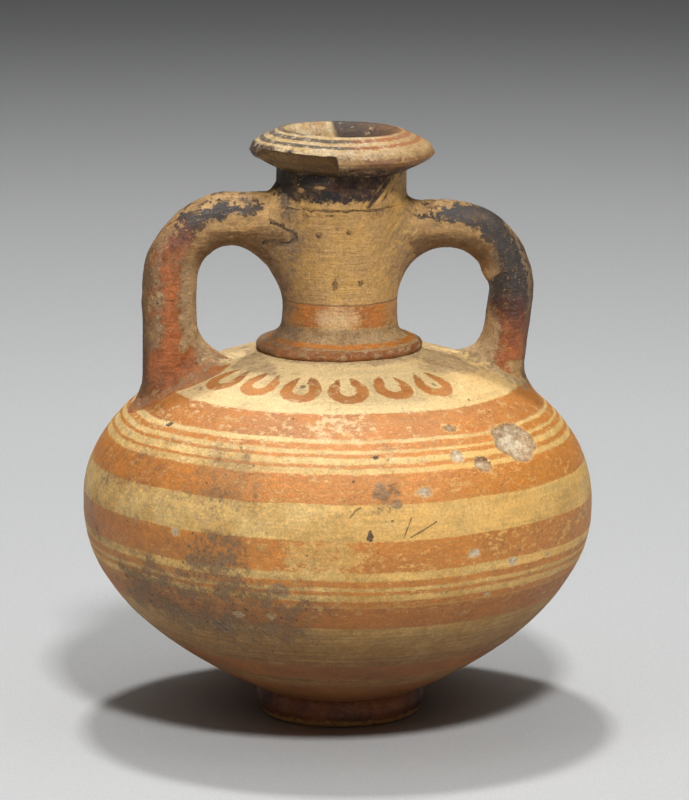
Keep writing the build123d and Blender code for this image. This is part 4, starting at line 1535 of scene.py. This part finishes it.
class FLASK_OT_neck(bpy.types.Operator):
    """Make the neck, the collar at its foot and the dark throat"""

    bl_idname = "flask.neck"
    bl_label = "Neck"

    def execute(self, context):
        body, neck = context.scene.flask_body, context.scene.flask_neck
        bore, throat_radius, throat_height = millimetres(
            neck, "bore_radius", "throat_radius", "throat_height"
        )
        side = neck_line(body, neck)
        top = side[-1]
        seat_inner = np.array([bore, top[1] - SEAT_FALL])
        crown_foot = body_lines(body)["inner_shoulder"][-1]
        foot_inner = np.array([bore, crown_foot[1]])
        rim = rounded(side[-RIM_LEAD], top, seat_inner, CORNER_ROUND)
        neck_runs = [
            respaced(np.vstack([side[side[:, 1] < rim[0, 1]], rim]), NECK_STEP),
            hidden(rim[-1], seat_inner),
            respaced(line(seat_inner, foot_inner), INNER_STEP),
            hidden(foot_inner, crown_foot),
            hidden(crown_foot, side[0]),
        ]
        collar, neck_side, seat = collar_lines(body, neck)
        collar_runs = [
            respaced(collar, NECK_STEP),
            respaced(neck_side, HIDDEN_STEP),
            respaced(seat, HIDDEN_STEP),
        ]
        throat_bore = throat_radius - THROAT_WALL
        fall = SEAT_FALL / (top[0] - bore)
        low = np.array([throat_radius, top[1] - fall * (top[0] - throat_radius)])
        low_inner = np.array([throat_bore, top[1] - fall * (top[0] - throat_bore)])
        high = np.array([throat_radius, throat_height])
        high_inner = np.array([throat_bore, throat_height - SEAT_FALL])
        heel = rounded(low_inner, low, high, CORNER_ROUND)
        throat_runs = [
            respaced(np.vstack([heel, high]), NECK_STEP),
            hidden(high, high_inner),
            hidden(high_inner, low_inner),
            hidden(low_inner, heel[0]),
        ]
        material = coated("buff_neck", neck_coat)
        for name, slot, runs, roughness in (
            ("neck", "buff_clay", neck_runs, 0.05),
            ("neck_collar", "red_slip_clay", collar_runs, 0.14),
            ("throat", "dark_slip_clay", throat_runs, 0.07),
        ):
            vertices, faces, normals, outside, places = turned(runs, NECK_SEGMENTS)
            rough = roughness * clay_noise(vertices, 2.2, 53) * outside
            make_piece(
                f"painted_{name}", name, slot,
                vertices + normals * rough[:, None], faces, places, material,
            )
        return {"FINISHED"}


class FLASK_OT_lip(bpy.types.Operator):
    """Make the wide sloping lip, with the flake that is missing under its front"""

    bl_idname = "flask.lip"
    bl_label = "Lip"

    def execute(self, context):
        neck = context.scene.flask_neck
        throat_radius, throat_height, lip_radius, lip_height = millimetres(
            neck, "throat_radius", "throat_height", "lip_radius", "lip_height"
        )
        bore = throat_radius - THROAT_WALL
        seat = np.array([bore, throat_height - SEAT_FALL])
        crest = np.array([bore + MOUTH_FLARE, lip_height])
        edge = np.array([lip_radius, lip_height - LIP_EDGE_DROP])
        upper = edge + (-LIP_EDGE_BULGE, LIP_EDGE_RISE)
        lower = edge - (LIP_EDGE_BULGE, LIP_EDGE_FALL)
        root = np.array([throat_radius, throat_height])
        mouth = bezier(seat, seat + (0, lip_height - seat[1]), crest)
        peak = rounded(upper, crest, mouth[-MOUTH_LEAD], 2 * CORNER_ROUND)
        inner = mouth[::-1][mouth[::-1, 1] < peak[-1, 1]]
        shoulder = rounded(edge, upper, crest, CORNER_ROUND)
        bottom = rounded(root, lower, edge, 2 * CORNER_ROUND)
        runs = [
            respaced(np.vstack([root, bottom, edge, shoulder, peak]), NECK_STEP),
            respaced(np.vstack([peak[-1], inner]), NECK_STEP),
            hidden(seat, root),
        ]
        vertices, faces, normals, outside, places = turned(runs, NECK_SEGMENTS)
        vertices, flake = flaked_lip(vertices, normals, outside)
        material = coated("banded_lip", lip_coat)
        make_piece(
            "painted_lip_plate", "lip_plate", "buff_clay",
            vertices, faces, places, material, flake=flake,
        )
        return {"FINISHED"}


def both_coils(scene):
    """The left and the right handle's coils on the vessel."""
    vessel = Vessel(scene.flask_body, scene.flask_neck)
    return {
        "left": Coil(-1, scene.flask_left_handle, vessel, scene.flask_neck),
        "right": Coil(1, scene.flask_right_handle, vessel, scene.flask_neck),
    }


class FLASK_OT_handles(bpy.types.Operator):
    """Make the two rolled handles, each ending inside the vessel's wall"""

    bl_idname = "flask.handles"
    bl_label = "Handles"

    SLOTS = {"left": "red_slip_clay", "right": "dark_slip_clay"}
    BURIED = -1.2
    # Bumps: place along the coil, angle from its outer side, half length, half angle, rise
    BUMPS = {
        "left": (
            (0.36, 2.3, 0.02, 0.5, 0.35),
            (0.60, 0.4, 0.05, 0.5, 0.25),
            (0.70, 2.6, 0.03, 0.4, 0.3),
        ),
        "right": (
            (0.49, math.pi, 0.045, 0.6, 0.4),
            (0.57, math.pi, 0.03, 0.6, -0.15),
            (0.5, 0.5, 0.03, 0.5, -0.25),
        ),
    }

    def execute(self, context):
        around = ring_angles(COIL_SEGMENTS)
        for side, coil in both_coils(context.scene).items():
            start = coil.meets(around, self.BURIED, at_foot=False)
            end = coil.meets(around, self.BURIED, at_foot=True)
            share = np.linspace(0, 1, COIL_ROWS)[:, None]
            along = (start + (end - start) * share).ravel()
            angles = np.tile(around, COIL_ROWS)
            vertices = coil.at(along, angles)
            outward = unit(vertices - coil.at(along, angles + math.pi))
            rough = layered_noise(vertices, (0.16, 5.0, 61), (0.06, 1.6, 62))
            for place, angle, half_length, half_angle, rise in self.BUMPS[side]:
                ahead = (along / coil.length - place) / half_length
                rough += rise * smooth(np.hypot(ahead, (angles - angle) / half_angle), 1.4, 0.2)
            vertices = vertices + outward * rough[:, None]
            faces, places = grid(COIL_ROWS, COIL_SEGMENTS)
            faces = faces[: -COIL_SEGMENTS]
            places = places[: -4 * COIL_SEGMENTS]
            if coil.side > 0:
                faces = [face[::-1] for face in faces]
            first = list(range(COIL_SEGMENTS))
            last = [COIL_SEGMENTS * (COIL_ROWS - 1) + one for one in first]
            faces += [first[::-1], last] if coil.side < 0 else [first, last[::-1]]
            places = np.vstack([places, np.zeros((2 * COIL_SEGMENTS, 2))])
            material = coated(f"{side}_handle_paint", handle_coat, side)
            make_piece(
                f"painted_{side}_handle", f"{side}_handle", self.SLOTS[side],
                vertices, faces, places, material,
                along=along / coil.length, outward=np.cos(angles),
            )
        return {"FINISHED"}


class FLASK_OT_wads(bpy.types.Operator):
    """Make the webs under the handle roots and the clay pressed round the handle feet"""

    bl_idname = "flask.wads"
    bl_label = "Wads"

    # How far each wad reaches from the crease: on the coil's outer side, its flanks and its inner side
    NECK_REACH = {"left": (2.4, 5.2, 13.5), "right": (2.6, 4.8, 10.6)}
    FOOT_REACH = {"left": (4.0, 3.2, 10.0), "right": (5.0, 3.6, 8.6)}
    EASE = {"left": 0.46, "right": 0.6}  # how full each wad's curve is, in its reach
    SUNK = 0.012  # how far the wad's edges lie under the surfaces they meet
    BURIED = 0.9

    def wad(self, coil, reaches, ease, at_foot):
        """A ring of clay that eases the crease between a coil and the vessel."""
        around = ring_angles(COIL_SEGMENTS)
        outer, flank, inner = reaches
        toward_outer = np.maximum(np.cos(around), 0) ** 1.5
        toward_inner = np.maximum(-np.cos(around), 0) ** 1.5
        reach = flank + (outer - flank) * toward_outer + (inner - flank) * toward_inner
        met = coil.meets(around, 0.0, at_foot)
        away = -1.0 if at_foot else 1.0
        crease = coil.at(met, around)
        on_coil = coil.at(met + away * reach, around)
        coil_way = unit(coil.at(met + away * (reach - 0.2), around) - on_coil)
        best, _ = coil.vessel.nearest(crease)
        turn = np.arctan2(crease[:, 0], -crease[:, 1])
        stop = coil.vessel.along[best]
        _, sideways, upward, radius = coil.vessel.at(turn, stop)
        loop = np.roll(crease, -1, axis=0) - np.roll(crease, 1, axis=0)
        normal = np.cross(sideways, upward)
        outward = unit(np.cross(normal, loop))
        outward *= np.sign(((crease - crease.mean(axis=0)) * outward).sum(axis=1))[:, None]
        step_side, step_up = (outward * sideways).sum(axis=1), (outward * upward).sum(axis=1)
        on_vessel, side_way, up_way, _ = coil.vessel.at(
            turn + reach * step_side / radius, stop + reach * step_up
        )
        vessel_way = side_way * step_side[:, None] + up_way * step_up[:, None]
        vessel_normal = np.cross(side_way, up_way)
        coil_normal = unit(on_coil - coil.at(met + away * reach, around + math.pi))
        start = on_coil - coil_normal * self.SUNK
        end = on_vessel - vessel_normal * self.SUNK
        ease = (reach * ease)[:, None]
        share = np.linspace(0, 1, WAD_ROWS)
        rows = []
        for pull in share:
            rest = 1 - pull
            rows.append(
                rest**3 * start
                + 3 * rest**2 * pull * (start + coil_way * ease)
                + 3 * rest * pull**2 * (end - vessel_way * ease)
                + pull**3 * end
            )
        rows.append(crease - (normal + coil_normal) * self.BURIED)
        vertices = np.vstack(rows)
        onto_handle = np.append(1 - share, 0.5)
        marks = {
            "onto_handle": np.repeat(onto_handle, COIL_SEGMENTS),
            "along": np.tile((met + away * reach * 0.5) / coil.length, WAD_ROWS + 1),
            "outward": np.tile(np.cos(around), WAD_ROWS + 1),
        }
        bulk = np.repeat(np.append(np.sin(math.pi * share), 0.0), COIL_SEGMENTS)
        lift = np.tile(normal + coil_normal, (WAD_ROWS + 1, 1)) / 2
        rough = layered_noise(vertices, (0.22, 3.4, 71), (0.10, 1.3, 72))
        return vertices + lift * (rough * bulk)[:, None], marks

    def execute(self, context):
        for side, coil in both_coils(context.scene).items():
            for place, reaches, slot, coat, at_foot in (
                ("neck_wad", self.NECK_REACH[side], "buff_clay", neck_coat, False),
                ("foot_wad", self.FOOT_REACH[side], "red_slip_clay", shoulder_coat, True),
            ):
                vertices, marks = self.wad(coil, reaches, self.EASE[side], at_foot)
                faces, places = grid(WAD_ROWS + 1, COIL_SEGMENTS)
                if (coil.side > 0) == at_foot:
                    faces = [face[::-1] for face in faces]
                material = wad_material(f"{side}_{place}_clay", coat, side)
                make_piece(
                    f"painted_{side}_{place}", f"{side}_{place}", slot,
                    vertices, faces, places, material, **marks,
                )
        return {"FINISHED"}


def toward(turn, rise):
    """The direction at a turn from the frame's front and an elevation."""
    return Vector((math.sin(turn) * math.cos(rise), -math.cos(turn) * math.cos(rise), math.sin(rise)))


def area_lamp(name, brightness, turn, rise, distance, breadth, depth):
    """A soft lamp, aimed at the flask, that shows white paper facing it there at a brightness."""
    data = bpy.data.lights.new(name, "AREA")
    data.shape = "RECTANGLE"
    data.size, data.size_y = breadth, depth
    data.energy = brightness * math.pi**2 * distance**2
    lamp = bpy.data.objects.new(name, data)
    offset = toward(math.radians(turn), math.radians(rise))
    lamp.location = offset * distance + Vector((0.0, 0.0, bpy.context.scene.flask_stage.height))
    lamp.rotation_euler = offset.to_track_quat("Z", "Y").to_euler()
    bpy.context.scene.collection.objects.link(lamp)


def floor_material(stage):
    """Pale paper whose tone falls off away from the flask, with a faint tooth."""
    bench = Bench("pale_paper")
    tooth = bench.noise(1.2, 4.0, 0.6)
    # painted light: the floor's tone falls off away from the flask
    tone = bench.ramp(bench.radius, [(place, (share,) * 3) for place, share in FLOOR_LIGHT_FALLOFF])
    shown = bench.vector("MULTIPLY", bench.shaded(stage.floor, 1.0 + 0.03 * tooth), tone)
    return Coat(bench, shown, EARTH_ROUGH, 0.015 * tooth).finish(grain=0.09)


class FLASK_OT_stage(bpy.types.Operator):
    """Make the floor, the lamps, the room's light and the camera"""

    bl_idname = "flask.stage"
    bl_label = "Stage"

    FLOOR_HALF = 6.0
    SENSOR = 36.0
    # Lamps: name, level, turn, elevation, distance, breadth, depth
    LAMPS = (
        ("front_lamp", "front_level", 1.5, 48.0, 1.3, 0.16, 0.16),
        ("top_lamp", "top_level", 181.0, 73.0, 1.25, 0.13, 0.13),
        ("sky", "sky_level", 172.0, 84.0, 1.7, 1.3, 1.3),
        ("left_fill", "fill_level", -75.0, 52.0, 1.9, 1.2, 1.0),
        ("right_fill", "fill_level", 62.0, 52.0, 1.9, 1.2, 1.0),
    )

    def execute(self, context):
        scene, stage = context.scene, context.scene.flask_stage
        mesh = bpy.data.meshes.new("floor")
        half = self.FLOOR_HALF
        corners = [(-half, -half, 0), (half, -half, 0), (half, half, 0), (-half, half, 0)]
        mesh.from_pydata(corners, [], [(0, 1, 2, 3)])
        mesh.materials.append(floor_material(stage))
        floor = bpy.data.objects.new("floor", mesh)
        scene.collection.objects.link(floor)
        for name, brightness, *place in self.LAMPS:
            area_lamp(name, getattr(stage, brightness), *place)
        world = bpy.data.worlds.new("room")
        world.use_nodes = True
        background = world.node_tree.nodes["Background"]
        background.inputs["Color"].default_value = (1.0, 1.0, 1.0, 1.0)
        background.inputs["Strength"].default_value = stage.room_level
        scene.world = world
        data = bpy.data.cameras.new("camera")
        data.sensor_fit = "VERTICAL"
        data.sensor_height = self.SENSOR
        data.lens = stage.lens
        data.clip_end = 4 * self.FLOOR_HALF
        camera = bpy.data.objects.new("camera", data)
        back = toward(stage.azimuth, stage.elevation)
        right = Vector((math.cos(stage.azimuth), math.sin(stage.azimuth), 0.0))
        camera.location = right * stage.aside + Vector((0.0, 0.0, stage.height)) + back * stage.distance
        camera.rotation_euler = back.to_track_quat("Z", "Y").to_euler()
        scene.collection.objects.link(camera)
        scene.camera = camera
        scene.view_settings.view_transform = "Standard"
        return {"FINISHED"}


class FLASK_PT_panel(bpy.types.Panel):
    """Lists the flask's pieces and their sizes"""

    bl_label = "Aryballos Flask"
    bl_idname = "FLASK_PT_panel"
    bl_space_type = "VIEW_3D"
    bl_region_type = "UI"
    bl_category = "Flask"

    def draw(self, context):
        for operator in OPERATORS:
            self.layout.operator(operator.bl_idname)
        for name in GROUPS:
            box = self.layout.box()
            box.label(text=name.replace("flask_", "").replace("_", " ").capitalize())
            group = getattr(context.scene, name)
            for key in group.__annotations__:
                box.prop(group, key)


OPERATORS = (
    FLASK_OT_body,
    FLASK_OT_foot,
    FLASK_OT_neck,
    FLASK_OT_lip,
    FLASK_OT_handles,
    FLASK_OT_wads,
    FLASK_OT_stage,
)
GROUPS = {
    "flask_body": FLASK_PG_body,
    "flask_neck": FLASK_PG_neck,
    "flask_left_handle": FLASK_PG_left_handle,
    "flask_right_handle": FLASK_PG_right_handle,
    "flask_paint": FLASK_PG_paint,
    "flask_stage": FLASK_PG_stage,
}


def register():
    """Registers the classes and hangs their sizes on the scene."""
    for name, group in GROUPS.items():
        bpy.utils.register_class(group)
        setattr(bpy.types.Scene, name, PointerProperty(type=group))
    for each in (*OPERATORS, FLASK_PT_panel):
        bpy.utils.register_class(each)


def unregister():
    """Takes the classes and the scene's sizes away again."""
    for each in (FLASK_PT_panel, *reversed(OPERATORS)):
        bpy.utils.unregister_class(each)
    for name, group in reversed(GROUPS.items()):
        delattr(bpy.types.Scene, name)
        bpy.utils.unregister_class(group)


def main():
    """Makes every piece and the stage, and writes the CAD model's box and the visual model's."""
    register()
    bpy.ops.flask.body()
    bpy.ops.flask.foot()
    bpy.ops.flask.neck()
    bpy.ops.flask.lip()
    bpy.ops.flask.handles()
    bpy.ops.flask.wads()
    bpy.ops.flask.stage()


if __name__ == "__main__":
    main()
